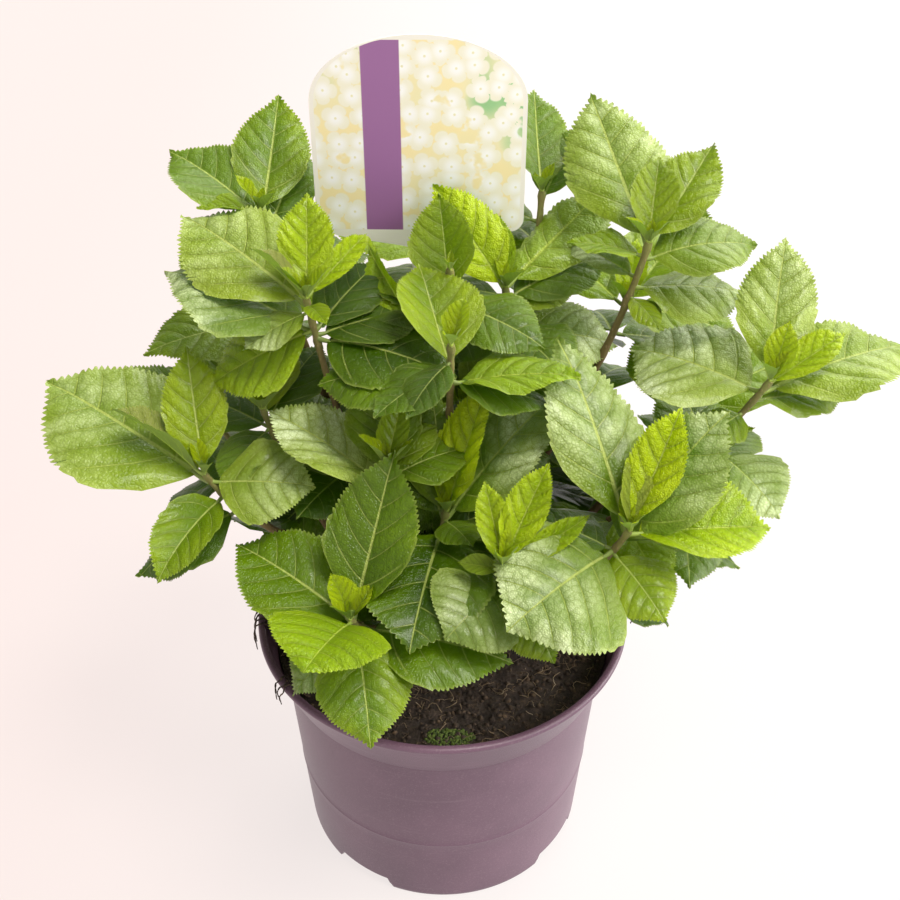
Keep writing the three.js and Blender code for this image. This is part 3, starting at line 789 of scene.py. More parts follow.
def blade_faces(rows, columns):
    """Corner numbers of the upper and lower faces, which share the blade's rim, and the lower grid."""
    top = np.arange((rows + 1) * (columns + 1)).reshape(rows + 1, columns + 1)
    low = top.copy()
    low[1:-1, 1:-1] = top.size + np.arange((rows - 1) * (columns - 1)).reshape(rows - 1, columns - 1)
    upper = np.stack([top[:-1, :-1], top[1:, :-1], top[1:, 1:], top[:-1, 1:]], -1).reshape(-1, 4)
    lower = np.stack([low[:-1, :-1], low[:-1, 1:], low[1:, 1:], low[1:, :-1]], -1).reshape(-1, 4)
    return upper, lower


def leaf_frame(leaf):
    """The leaf's own axes: along it, across it to its left, and out of its upper face."""
    forward = direction(leaf.bearing, leaf.rise)
    left = direction(leaf.bearing + 90, 0)
    face = np.cross(forward, left)
    turn, rest = math.sin(math.radians(leaf.roll)), math.cos(math.radians(leaf.roll))
    return forward, left * rest + face * turn, face * rest - left * turn


def add_leaf(sheaf, stalks, leaf, node, grade, rng):
    """One leaf on its stalk, from its node on a bough."""
    forward, left, face = leaf_frame(leaf)
    stalk = leaf.length * MM * PETIOLE_SHARE
    length = leaf.length * MM - stalk
    base = node + forward * stalk
    body, below, rib, along, across, start, column = shape_blade(leaf, grade, rng)
    axes = np.stack([left, forward, face])
    thickness = BLADE_THICKNESS / length
    top = base + length * (body @ axes)
    low = base + length * ((body + below * (thickness + rib)[..., None]) @ axes)
    rows, columns = grade.rows, top.shape[1] - 1
    points = np.concatenate([top.reshape(-1, 3), low[1:-1, 1:-1].reshape(-1, 3)])
    upper, lower = blade_faces(rows, columns)

    def both_sides(grid):
        return np.concatenate([grid.reshape(-1), grid[1:-1, 1:-1].reshape(-1)])

    edge = both_sides(np.broadcast_to(abs(column), along.shape))
    blade_map = np.stack([both_sides(across + 0.5), both_sides(along)], -1)
    vein_map = np.stack([edge, both_sides(start)], -1)
    sheaf.add(points, [upper, lower], slots=[0, 1],
              values={"tone": leaf.tone + rng.uniform(-0.05, 0.05), "bronze": leaf.bronze, "pale": leaf.pale,
                      "edge": edge},
              maps={"blade": [blade_map[upper], blade_map[lower]],
                    "vein": [vein_map[upper], vein_map[lower]],
                    "OFBake": [blade_map[upper], blade_map[lower]]})

    thick = (0.7 + 0.9 * leaf.length / 110) * MM
    joint = base + forward * length * 0.03 - face * thick * 0.4
    middle = node + forward * stalk * 0.5 - face * stalk * 0.12
    line = curved([node, middle, joint], 4)
    points, faces = tube(line, np.linspace(1.35, 0.8, len(line)) * thick, 7)
    stalks.add(points, faces, values={"tone": leaf.tone})


def spread_bake_map(sheaf):
    """Gives each face of each leaf its own cell of the map that its finish is baked on."""
    blocks = sheaf.maps["OFBake"]
    across = math.ceil(math.sqrt(len(blocks)))
    for index, block in enumerate(blocks):
        cell = np.array([index % across, index // across])
        blocks[index] = (cell + 0.02 + 0.96 * np.clip(block, 0, 1)) / across


# ---------------------------------------------------------------------------------------------------------
# Limbs, read from the part
# ---------------------------------------------------------------------------------------------------------
def corners_of(node):
    mesh = NODES[node].data
    place = np.empty(len(mesh.vertices) * 3)
    mesh.vertices.foreach_get("co", place)
    return np.unique(place.reshape(-1, 3).round(6), axis=0)


def fork_of(stem):
    """The middle of the swollen node on a stem's head."""
    place = corners_of(f"stem_{stem}")
    top = place[:, 2].max()
    head = place[place[:, 2] > top - FORK_BALL - 0.1 * MM]
    return np.array([*head[:, :2].mean(0), top - FORK_BALL])


def limb_line(node, start, reach, steps):
    """A limb's middle line, as a curve fitted to its rings by their distance from its start."""
    place = corners_of(node)
    away = np.linalg.norm(place - start, axis=1)
    far = away.max() + reach
    held = np.concatenate([away, np.zeros(12)])
    spots = np.concatenate([place, np.repeat(start[None], 12, 0)])
    fits = [np.polyfit(held, spots[:, axis], 3) for axis in range(3)]
    return np.stack([np.polyval(fit, np.linspace(0, far, steps)) for fit in fits], -1)


def stem_line(stem, steps):
    """From the flat cut on the compost up to the fork."""
    fork = fork_of(stem)
    line = limb_line(f"stem_{stem}", fork, 0.0, steps)[::-1]
    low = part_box(f"stem_{stem}")[0].z
    return line + (np.linspace(1, 0, steps) ** 4)[:, None] * np.array([0, 0, low - line[0, 2]])


# ---------------------------------------------------------------------------------------------------------
# Growth: the listed sprays, and the seeded rule that fills the bush behind them
# ---------------------------------------------------------------------------------------------------------
class Bush:
    """Everything that has grown so far."""

    def __init__(self):
        self.mature = {sector: Gathering() for sector in SECTORS}
        self.young = Gathering(), Gathering()
        self.stalks = Gathering()
        self.wood = Gathering()
        self.twigs = Gathering()
        # Points on every leaf, points on the listed leaves, and the ways to those from the eye
        self.taken = []
        self.shown = []
        self.outline_ways = None
        self.shown_view = None

    def sheaf(self, leaf, sector):
        if leaf.tone < 0.6:
            return self.mature[sector]
        return self.young[0 if sector in ("left", "back") else 1]


def spots_of(leaf, node):
    """A few points on a leaf, for judging how near others it lies."""
    forward, left, face = leaf_frame(leaf)
    length = leaf.length * MM
    bend = math.radians(leaf.bend)
    spots = []
    for along, wide in SPOTS:
        arch = bend * along * (1 - along) * length / 2
        half = wide * leaf.breadth * length / 2 * float(outline(np.array(along)))
        spots.append(node + forward * along * length + left * half + face * arch)
    return np.array(spots)


def stands_free(spots):
    """True where a leaf keeps inside the bush's own box and clear of pot, compost and label."""
    low = np.array(PART_BOX[0]) + BOX_MARGIN
    high = np.array(PART_BOX[1]) - BOX_MARGIN
    if (spots < low).any() or (spots > high).any():
        return False
    x, y, z = spots.T
    if (z < COMPOST_TOP + PIECE_MARGIN).any():
        return False
    if ((z < POT_HEIGHT + PIECE_MARGIN) & (np.hypot(x, y) > POT_MOUTH)).any():
        return False
    beside = (x > LABEL_LOW.x - BOX_MARGIN) & (x < LABEL_HIGH.x + BOX_MARGIN)
    gap = (y - LABEL_LOW.y)[beside & (z > CARD_FOOT - 6 * MM)]
    return (gap > PIECE_MARGIN).all() or (gap < -PIECE_MARGIN).all()


def as_seen(spots):
    """Which way points lie from the eye, and how far off."""
    away = spots - np.array(CAMERA_PLACE)
    distance = np.linalg.norm(away, axis=1)
    return away / distance[:, None], distance


def covers_shown(bush, spots):
    """True where a leaf would come between the eye and a leaf of the listed sprays."""
    ways, near = as_seen(spots)
    shown_ways, shown_far = bush.shown_view
    close = ways @ shown_ways.T > math.cos(COVER_GAP)
    return (close & (near[:, None] < shown_far[None] + 2 * MM)).any()


def kept_in_sight(bush):
    """Points that the rule may not hide: the front of the compost with its rim, and the label's picture."""
    points = []
    for bearing in np.radians(np.arange(-170, -9, 5)):
        for out, height in ((52, 158), (64, 158), (76, 158), (88, 158), (100, 158), (111, 168)):
            points.append((out * math.cos(bearing), out * math.sin(bearing), height))
    for across in np.linspace(LABEL_LOW.x, LABEL_HIGH.x, 7) / MM:
        points.extend((across, LABEL_LOW.y / MM, height) for height in range(392, 490, 14))
    points = np.array(points) * MM
    ways, far = as_seen(points)
    leaf_ways, near = as_seen(np.concatenate(bush.shown))
    hidden = ((ways @ leaf_ways.T > math.cos(COVER_GAP)) & (near[None] < far[:, None])).any(1)
    return points[~hidden]


def breaks_outline(bush, spots):
    """True where a leaf would stick out past the listed leaves, as seen from the eye."""
    ways, _ = as_seen(spots)
    return ((ways @ bush.outline_ways.T).max(1) < math.cos(OUTLINE_GAP)).any()


def roomiest(bush, node, drafts):
    """Of several drafts of one leaf, the one that stays furthest from the leaves already grown."""
    grown = np.concatenate(bush.taken)
    best, best_room = None, KEEP_CLEAR
    for draft in drafts:
        spots = spots_of(draft, node)
        if not stands_free(spots) or covers_shown(bush, spots) or breaks_outline(bush, spots):
            continue
        room = np.linalg.norm(grown[None] - spots[BLADE_FOOT:, None], axis=2).min()
        if room > best_room:
            best, best_room = draft, room
    return best


def sprout(bush, sector, leaf, node, grade, rng):
    add_leaf(bush.sheaf(leaf, sector), bush.stalks, leaf, node, grade, rng)
    bush.taken.append(spots_of(leaf, node))


def point_below(line, distance):
    """The point on a limb that lies a distance back from its tip, and the limb's direction there."""
    steps = np.linalg.norm(np.diff(line, axis=0), axis=1)
    back = np.concatenate([[0], np.cumsum(steps[::-1])])
    turned = line[::-1]
    place = np.array([np.interp(distance, back, turned[:, axis]) for axis in range(3)])
    ahead = np.array([np.interp(max(distance - 3 * MM, 0), back, turned[:, axis]) for axis in range(3)])
    behind = np.array([np.interp(distance + 3 * MM, back, turned[:, axis]) for axis in range(3)])
    return place, unit(ahead - behind)


def sprout_roomiest(bush, sector, node, bearing, ranges, rng):
    """Drafts one leaf many times, within a range for each of its fields, and grows the roomiest draft."""
    drafts = []
    for _ in range(TRIES):
        swing, *rest = (rng.uniform(low, high) for low, high in ranges)
        drafts.append(Leaf(bearing + swing, *rest))
    chosen = roomiest(bush, node, drafts)
    if chosen:
        sprout(bush, sector, chosen, node, MIDDLING, rng)


def grow_young(bush, sector, tip, rng, size):
    """The unfolding pairs in the middle of a shoot, each at right angles to the last."""
    bearing = rng.uniform(0, 180)
    for pair, (length, rise) in enumerate(((size, 52), (size * 0.62, 64), (size * 0.36, 74))):
        for side in (0, 180):
            leaf = Leaf(bearing + 90 * pair + side + rng.uniform(-14, 14), rise + rng.uniform(-7, 7),
                        length * rng.uniform(0.85, 1.15), rng.uniform(0.82, 1.0), rng.uniform(0.46, 0.6),
                        rng.uniform(-6, 16), rng.uniform(34, 52), rng.uniform(-12, 12))
            sprout(bush, sector, leaf, tip, SMALL, rng)


def grow_old(bush, sector, line, rng):
    """Older pairs down the bough, each at right angles to the last and in what room is left."""
    bearing = rng.uniform(0, 180)
    distance = NODE_STEP + rng.uniform(-4, 6) * MM
    reach = length_of(line) - 8 * MM
    nodes = []
    while distance < reach:
        node, _ = point_below(line, distance)
        nodes.append(distance)
        for side in (0, 180):
            sprout_roomiest(bush, sector, node, bearing + side, OLD_LEAF_RANGES, rng)
        bearing += 90
        distance += NODE_STEP + rng.uniform(-4, 8) * MM
    return nodes


def grow_twig(bush, sector, line, rng):
    """A side twig from low on the bough, with a small spray of its own."""
    node, ahead = point_below(line, length_of(line) * rng.uniform(0.45, 0.65))
    grown = np.concatenate(bush.taken)
    best, best_room = None, TWIG_CLEAR
    for _ in range(TWIG_TRIES):
        way = unit(direction(rng.uniform(0, 360), rng.uniform(10, 50)) + 0.4 * ahead)
        tip = node + way * rng.uniform(*TWIG_LENGTH) * MM
        room = np.linalg.norm(grown - tip, axis=1).min()
        around = tip + TWIG_LEAF_REACH * np.array([(0, 0, 0), (1, 0, 1), (-1, 0, 1), (0, 1, 1), (0, -1, 1)])
        if covers_shown(bush, around) or breaks_outline(bush, around):
            continue
        if stands_free(tip[None]) and room > best_room:
            best, best_room = tip, room
    if best is None:
        return
    middle = (node + best) / 2 - np.array([0, 0, 4 * MM])
    path = curved([node, middle, best], 8)
    radii = np.linspace(2.0, 1.3, len(path)) * MM
    add_limb(bush.twigs, path, radii, [0.3 * len(path)], (0.75, 0.75), rng, 10)
    bearing = rng.uniform(0, 180)
    for turn in (0, 180, 90, 270):
        sprout_roomiest(bush, sector, best, bearing + turn, TWIG_LEAF_RANGES, rng)
    grow_young(bush, sector, best, rng, 17)


def bark_relief(line, nodes, sides, rng):
    """Radius factors for a limb: slight unevenness, and a swelling with two leaf scars at each node, which
    is given as a number of rings."""
    rings = len(line)
    relief = 1 + 0.05 * rng.standard_normal((rings, sides)).cumsum(0) / math.sqrt(rings)
    relief += 0.03 * rng.standard_normal((rings, sides))
    for order, node in enumerate(nodes):
        off = np.arange(rings)[:, None] - node
        scar = np.cos(circle(sides) - order * math.pi / 2) ** 6
        relief += 0.2 * np.exp(-(off / 1.7) ** 2) + 0.42 * scar * np.exp(-(off / 0.9) ** 2)
    return relief


def add_limb(wood, line, radii, nodes, ages, rng, sides=16):
    points, faces = tube(line, radii, sides, bark_relief(line, nodes, sides, rng))
    age = np.concatenate([np.repeat(np.linspace(*ages, len(line)), sides), ages])
    wood.add(points, faces, values={"age": age})


def grow_spray(bush, sector, shoot, rng):
    """Grows the listed leaves at a shoot's tip and the unfolding pairs among them, and returns the line of
    its bough."""
    fork = fork_of(STEM_OF[shoot])
    line = limb_line(f"bough_{shoot}", fork, BUD_BALL, 60)
    for leaf in SPRAYS[shoot]:
        node, _ = point_below(line, leaf.drop * MM)
        grade = FINE if leaf.length > 45 else SMALL
        sprout(bush, sector, leaf, node, grade, rng)
        bush.shown.append(bush.taken[-1])
    grow_young(bush, sector, line[-1], rng, rng.uniform(18, 25) * (0.5 if shoot in RESTING else 1))
    return line


def finish_bough(bush, sector, line, rng):
    """Gives a bough its older leaves and its bark, swollen where its leaves are joined."""
    marks = [3 * MM, 16 * MM, *grow_old(bush, sector, line, rng)]
    rings = [(1 - mark / length_of(line)) * (len(line) - 1) for mark in marks]
    add_limb(bush.wood, line, np.linspace(2.8, 1.6, len(line)) * MM, rings, (0.15, 0.85), rng)


def grow_stem(bush, stem, rng):
    """A stem from a little way down in the compost up to the swollen node on its head."""
    line = stem_line(stem, 36)
    line[0, 2] -= 4 * MM
    radii = np.interp(np.arange(36), (0, 30, 33, 35), (4.7, 3.7, 4.8, 2.6)) * MM
    add_limb(bush.wood, line, radii, [9, 20], (0.0, 0.25), rng)


def grow_bush():
    bush = Bush()
    rng = np.random.default_rng(SEED)
    boughs = [(sector, grow_spray(bush, sector, shoot, rng)) for sector, shoot in SHOOTS]
    bush.outline_ways, _ = as_seen(np.concatenate(bush.shown))
    bush.shown_view = as_seen(np.concatenate([*bush.shown, kept_in_sight(bush)]))
    for grow in (finish_bough, grow_twig):
        for sector, line in boughs:
            grow(bush, sector, line, rng)
    for stem in STEMS:
        grow_stem(bush, stem, rng)
    return bush


# ---------------------------------------------------------------------------------------------------------
# Finishes of the plant
# ---------------------------------------------------------------------------------------------------------
def leaf_veins(finish):
    """Masks of a blade's midrib, its side veins, the valleys they lie in, its fine net and the domes
    between, and the place along it, all from its own maps."""
    across, along, blade = finish.chart("blade")
    column, start, _ = finish.chart("vein")
    reach = abs(across - 0.5)
    rib_width = 0.0175 - along * 0.0125
    rib = finish.step_down(reach, rib_width * 0.45, rib_width)
    number = start * VEIN_COUNT + (across < 0.5) * VEIN_STAGGER
    off = abs(finish.maths("FRACT", number + 0.5) - 0.5) * (1 / VEIN_COUNT)
    side_width = 0.0095 - column * 0.005
    side = finish.step_down(off, side_width * 0.3, side_width) * finish.step_down(column, 0.7, 1.0)
    valley = finish.step_down(off, 0.0, 0.055)
    mesh = {"feature": "DISTANCE_TO_EDGE", "voronoi_dimensions": "2D"}
    fine, broad = (finish.node("ShaderNodeTexVoronoi", mesh, {"Vector": blade, "Scale": scale})
                   for scale in (52.0, 17.0))
    net = finish.step_down(fine, 0.0, 0.14) * 0.5 + finish.step_down(broad, 0.0, 0.08) * 0.6
    dome = finish.step_up(fine, 0.02, 0.4) * 0.4 + finish.step_up(broad, 0.0, 0.4) * 0.6
    return rib, side, valley, net, dome, along


def even_stops(colours):
    return [(order / (len(colours) - 1), colour) for order, colour in enumerate(colours)]


def leaf_face(name, tones, vein, gloss, glow, relief, dark_net):
    """The upper face of a blade. tones run from the oldest leaf to the youngest; relief is how deep its
    veins lie, and dark_net is how much painted shade darkens the finest of them."""
    finish = Finish(name)
    rib, side, valley, net, dome, along = leaf_veins(finish)
    tone = finish.attribute("tone")
    place = finish.place()
    cloud = finish.noise(place, 38.0, 3.0)
    grain = finish.noise(place, 420.0, 2.0)
    edge = finish.attribute("edge")
    base = finish.ramp(tone + (cloud - 0.5) * 0.34 + (edge - 0.45) * 0.13, *even_stops(tones))
    base = finish.mix(finish.attribute("bronze") * 0.9, base, BRONZE)
    # Painted sheen: bloom below is a pale wash in patches, growing towards the tip and fading over the veins
    sunken = 0.8 + dome * 0.3 - net * 0.3 - side * 0.4 - valley * 0.3 - rib * 0.3
    patch = 0.25 + finish.step_up(cloud, 0.36, 0.68) * 1.1
    bloom = finish.attribute("pale") * (0.15 + finish.step_up(along, 0.1, 0.8)) * patch * sunken
    base = finish.mix(bloom, base, PAINTED_SHEEN)
    # Painted highlight on the raised domes, and painted shade in the sunken fine net and the vein valleys
    base = finish.scaled(base, 0.93 + cloud * 0.36 + grain * 0.2 + dome * 0.12 + along * 0.06)
    base = finish.scaled(base, 1.08 - net * dark_net - valley * 0.16)
    faint = 0.34 + tone * 0.36
    base = finish.mix(side * faint, base, vein)
    base = finish.mix(rib * (faint + 0.36), base, vein)
    base = finish.mix(finish.step_up(edge, 0.93, 1.0) * 0.3, base, vein)
    height = dome * 0.5 - rib * 0.35 - side * 0.5 - valley * 0.3 + cloud * 0.5 + grain * 0.12
    skin = finish.surface({"Base Color": base, "Roughness": gloss + grain * 0.16 + rib * 0.1,
                           "Specular IOR Level": 0.44, "Coat Weight": 0.2, "Coat Roughness": 0.13,
                           "Normal": finish.bump(height, relief)})
    return finish.close_leaf(skin, glow)


def leaf_back(name, tones, vein, glow, relief):
    """The duller, paler underside, where the veins stand proud."""
    finish = Finish(name)
    rib, side, _, net, _, _ = leaf_veins(finish)
    cloud = finish.noise(finish.place(), 60.0, 3.0)
    base = finish.ramp(finish.attribute("tone") + (cloud - 0.5) * 0.2, *even_stops(tones))
    base = finish.mix(net * 0.2 + side * 0.5, base, vein)
    base = finish.mix(rib * 0.8, base, vein)
    height = 0.3 + rib * 0.5 + side * 0.45 + net * 0.25
    skin = finish.surface({"Base Color": base, "Roughness": 0.62 + cloud * 0.1,
                           "Normal": finish.bump(height, relief)})
    return finish.close_leaf(skin, glow)


def stalk_finish():
    finish = Finish("petiole green")
    streak = finish.noise(finish.mapped((180, 180, 40)), 1.0, 4.0)
    base = finish.ramp(finish.attribute("tone") + (streak - 0.5) * 0.3,
                       (0.0, (0.15, 0.2, 0.04)), (0.5, (0.22, 0.3, 0.05)), (1.0, (0.32, 0.42, 0.05)))
    return finish.close(finish.surface({"Base Color": base, "Roughness": 0.42 + streak * 0.16,
                                        "Normal": finish.bump(streak, 0.15 * MM)}))


def bark_finish():
    finish = Finish("speckled bark")
    place = finish.mapped((1.0, 1.0, 0.55))
    rough = finish.noise(place, 260.0, 5.0)
    streak = finish.noise(finish.mapped((420, 420, 60)), 1.0, 4.0)
    spots = finish.node("ShaderNodeTexVoronoi", None, {"Vector": place, "Scale": 430.0})
    lenticel = finish.step_down(spots, 0.16, 0.34)
    age = finish.attribute("age")
    base = finish.ramp(age + (rough - 0.5) * 0.35, (0.0, (0.1, 0.056, 0.03)), (0.35, (0.18, 0.098, 0.043)),
                       (0.7, (0.19, 0.15, 0.048)), (1.0, (0.23, 0.28, 0.06)))
    base = finish.scaled(base, 0.72 + streak * 0.55)
    base = finish.mix(lenticel * 0.45, base, (0.34, 0.24, 0.12))
    height = rough * 0.5 + streak * 0.4 + lenticel * 0.5
    return finish.close(finish.surface({"Base Color": base, "Roughness": 0.62 + rough * 0.2,
                                        "Normal": finish.bump(height, 0.5 * MM)}))


# ---------------------------------------------------------------------------------------------------------
# Pot
# ---------------------------------------------------------------------------------------------------------
def wall_radius(height):
    """The pot's outer radius at a height, without its raised ring and bead."""
    body = BASE_RADIUS + (COLLAR_RADIUS - BASE_RADIUS) * height / COLLAR_FOOT
    share = (height - COLLAR_FOOT) / (POT_HEIGHT - BEAD_HEIGHT - COLLAR_FOOT)
    collar = COLLAR_RADIUS + COLLAR_STEP + (RIM_RADIUS - BEAD_OVERHANG - COLLAR_RADIUS) * share
    return np.where(height < COLLAR_FOOT, body, collar)


def pot_profile():
    """Radii and heights from the middle of the underside to the lip, and on to the middle of the floor."""
    under = [(r * MM, 0.0) for r in (20, 40, 45.5, 47, 49, 52, 60, 70, 80, 87)]
    turn = [(BASE_RADIUS - 1.6 * MM, 0.0), (BASE_RADIUS - 0.5 * MM, 0.4 * MM), (BASE_RADIUS, 1.5 * MM)]
    heights = np.concatenate([np.linspace(3, 11, 8), np.arange(15, 55, 5), (56.6, 57.4, 58, 58.6, 59.4),
                              np.arange(64, 134, 5), (135.6, 136.6)]) * MM
    ring = RING_RISE * np.exp(-((heights - RING_HEIGHT) / RING_WIDTH) ** 2)
    body = list(zip(wall_radius(heights) + ring, heights))
    heights = np.array([137.1, 137.8, 139, 143, 148, 153, 158, 162, 164.6]) * MM
    ease = np.array([-0.5, -0.1, 0, 0, 0, 0, 0, 0, 0]) * MM
    collar = list(zip(wall_radius(heights) + ease, heights))
    bead = [(RIM_RADIUS - BEAD_RADIUS + BEAD_RADIUS * math.cos(angle),
             POT_HEIGHT - BEAD_RADIUS + BEAD_RADIUS * math.sin(angle))
            for angle in np.radians((-40, -15, 10, 35, 62, 90))]
    lip = [(RIM_RADIUS - 3.4 * MM, POT_HEIGHT), (RIM_RADIUS - 4.4 * MM, POT_HEIGHT - 0.5 * MM),
           (RIM_RADIUS - 4.9 * MM, POT_HEIGHT - 1.6 * MM)]
    heights = np.concatenate([np.arange(164, 140, -4), (138.6,), np.arange(134, 12, -8), (8, 4)]) * MM
    inner = list(zip(wall_radius(heights) - WALL, heights))
    floor = [(r * MM, WALL) for r in (86, 80, 70, 60, 53, 51, 49, 47, 45, 40, 20)]
    return [*under, *turn, *body, *collar, *bead, *lip], [*inner, *floor]


def channel_roof(radius, angle):
    """Height of the hollow under the floor at a radius and bearing."""
    step = 2 * math.pi / CHANNEL_COUNT
    off = abs((angle - CHANNEL_BEARING + step / 2) % step - step / 2)
    soft = 0.7 * MM / BASE_RADIUS
    within = 1 - smooth(off, CHANNEL_HALF_ANGLE - soft, CHANNEL_HALF_ANGLE + soft)
    return CHANNEL_HEIGHT * within * smooth(radius, CHANNEL_START - 1 * MM, CHANNEL_START + 1 * MM)


def lathed(name, rings, finish, crease):
    """A closed piece turned about the upright axis, through rings from pole to pole."""
    rings = np.array(rings)
    piece = Gathering()
    piece.add(*capped(rings, rings[0].mean(0), rings[-1].mean(0)))
    return piece.build(name, [finish], crease)


def pot_shell():
    outside, inside = pot_profile()
    angle = circle(POT_SEGMENTS)
    rings = []
    for order, (radius, height) in enumerate(outside):
        roof = channel_roof(radius, angle)
        # Rows over a channel are kept a hair apart, so that none coincide
        rings.append(level_ring(radius, angle, np.maximum(height, roof + order * 1e-6 * (roof > 0))))
    for radius, height in inside:
        roof = channel_roof(radius, angle)
        rings.append(level_ring(radius, angle, np.maximum(height, (roof + WALL) * (roof > 0))))
    mount(lathed("pot_shell", rings, pot_finish(), 34), "pot", "pot")


def pot_finish():
    finish = Finish("dusty plum plastic")
    place = finish.place()
    cloud = finish.noise(place, 22.0, 4.0)
    speck = finish.noise(place, 900.0, 2.0)
    grain = finish.noise(place, 2600.0, 2.0)
    scuff = finish.noise(finish.mapped((14, 14, 260)), 1.0, 5.0)
    base = finish.ramp(cloud, (0.3, (0.118, 0.06, 0.094)), (0.7, (0.156, 0.083, 0.124)))
    base = finish.mix(finish.step_up(speck, 0.5, 0.72) * 0.2, base, (0.34, 0.24, 0.28))
    base = finish.mix(finish.step_up(scuff, 0.62, 0.8) * 0.14, base, (0.45, 0.35, 0.4))
    return finish.close(finish.surface({"Base Color": base, "Roughness": 0.26 + speck * 0.14 + cloud * 0.06,
                                        "Normal": finish.bump(grain * 0.6 + speck * 0.6, 0.12 * MM)}))


# ---------------------------------------------------------------------------------------------------------
# Compost and what lies on it
# ---------------------------------------------------------------------------------------------------------
def fractal(place, scale, octaves, seed):
    """Summed sine noise, the same on every run."""
    rng = np.random.default_rng(seed)
    total = np.zeros(len(place))
    for octave in range(octaves):
        for _ in range(5):
            way = unit(rng.standard_normal(place.shape[1])) * scale * 1.9 ** octave
            total += np.sin(place @ way + rng.uniform(0, 2 * math.pi)) / 1.75 ** octave
    return total / 5


def compost_height(x, y):
    """The lumpy face of the compost, which sinks a little towards the wall."""
    out = np.hypot(x, y)
    spots = np.stack([x, y], -1).reshape(-1, 2)
    lumps = fractal(spots, 95, 3, 3).reshape(x.shape) * 1.5 * MM
    crumbs = fractal(spots, 620, 4, 5).reshape(x.shape) * 0.8 * MM
    edge = smooth(out, 84 * MM, 104 * MM)
    return COMPOST_TOP - 1.5 * MM - 2.5 * MM * edge + lumps * (1 - 0.5 * edge) + crumbs


def compost_ring(radius, angle):
    """A ring of points on the compost's face."""
    return level_ring(radius, angle, compost_height(radius * np.cos(angle), radius * np.sin(angle)))


def compost_bed():
    angle = circle(COMPOST_SEGMENTS)
    foot = CHANNEL_HEIGHT + WALL + 1.5 * MM
    gap = WALL + COMPOST_GAP
    rings = [level_ring(radius, angle, foot)
             for radius in np.linspace(0.01, float(wall_radius(foot)) - gap, 6)]
    for height in (60 * MM, 110 * MM, 136 * MM, 141 * MM, COMPOST_TOP - 7 * MM):
        radius = float(wall_radius(height)) - gap - (1 * MM if height < 141 * MM else 0)
        rings.append(level_ring(radius, angle, height))
    rim = float(wall_radius(COMPOST_TOP - 5 * MM)) - gap
    for radius in rim * (1 - np.linspace(0, 1, COMPOST_RINGS) ** 1.15 * 0.985):
        rings.append(compost_ring(radius, angle))
    mount(lathed("compost_bed", rings, peat_finish(), 180), "compost", "compost")


def peat_finish():
    finish = Finish("dark peat")
    place = finish.place()
    lumps = finish.noise(place, 130.0, 6.0, 0.65)
    fine = finish.noise(place, 700.0, 4.0, 0.6)
    fibre = finish.noise(finish.mapped((300, 900, 600)), 1.0, 3.0)
    base = finish.ramp(lumps * 0.6 + fine * 0.4, (0.3, (0.016, 0.012, 0.01)), (0.52, (0.052, 0.035, 0.026)),
                       (0.72, (0.15, 0.1, 0.066)))
    base = finish.mix(finish.step_up(fibre, 0.66, 0.78) * 0.5, base, (0.17, 0.11, 0.06))
    return finish.close(finish.surface({"Base Color": base, "Roughness": 0.82 + fine * 0.15,
                                        "Normal": finish.bump(fine * 0.7 + lumps, 1.6 * MM)}))


def crumb_finish():
    finish = Finish("peat crumb")
    place = finish.place()
    patch = finish.noise(place, 260.0, 2.0)
    fine = finish.noise(place, 1500.0, 3.0)
    base = finish.ramp(patch, (0.3, (0.018, 0.012, 0.009)), (0.55, (0.065, 0.042, 0.027)),
                       (0.75, (0.17, 0.108, 0.062)))
    return finish.close(finish.surface({"Base Color": base, "Roughness": 0.8 + fine * 0.15,
                                        "Normal": finish.bump(fine, 0.4 * MM)}))


def fibre_finish():
    finish = Finish("dry root fibre")
    patch = finish.noise(finish.place(), 90.0, 3.0)
    base = finish.ramp(patch, (0.3, (0.13, 0.082, 0.044)), (0.55, (0.3, 0.21, 0.12)),
                       (0.75, (0.5, 0.4, 0.27)))
    return finish.close(finish.surface({"Base Color": base, "Roughness": 0.6 + patch * 0.2}))


def moss_finish():
    finish = Finish("moss")
    fine = finish.noise(finish.place(), 600.0, 3.0)
    base = finish.ramp(fine, (0.35, (0.035, 0.06, 0.01)), (0.65, (0.14, 0.2, 0.03)))
    return finish.close(finish.surface({"Base Color": base, "Roughness": 0.75 + fine * 0.15,
                                        "Normal": finish.bump(fine, 0.5 * MM)}))


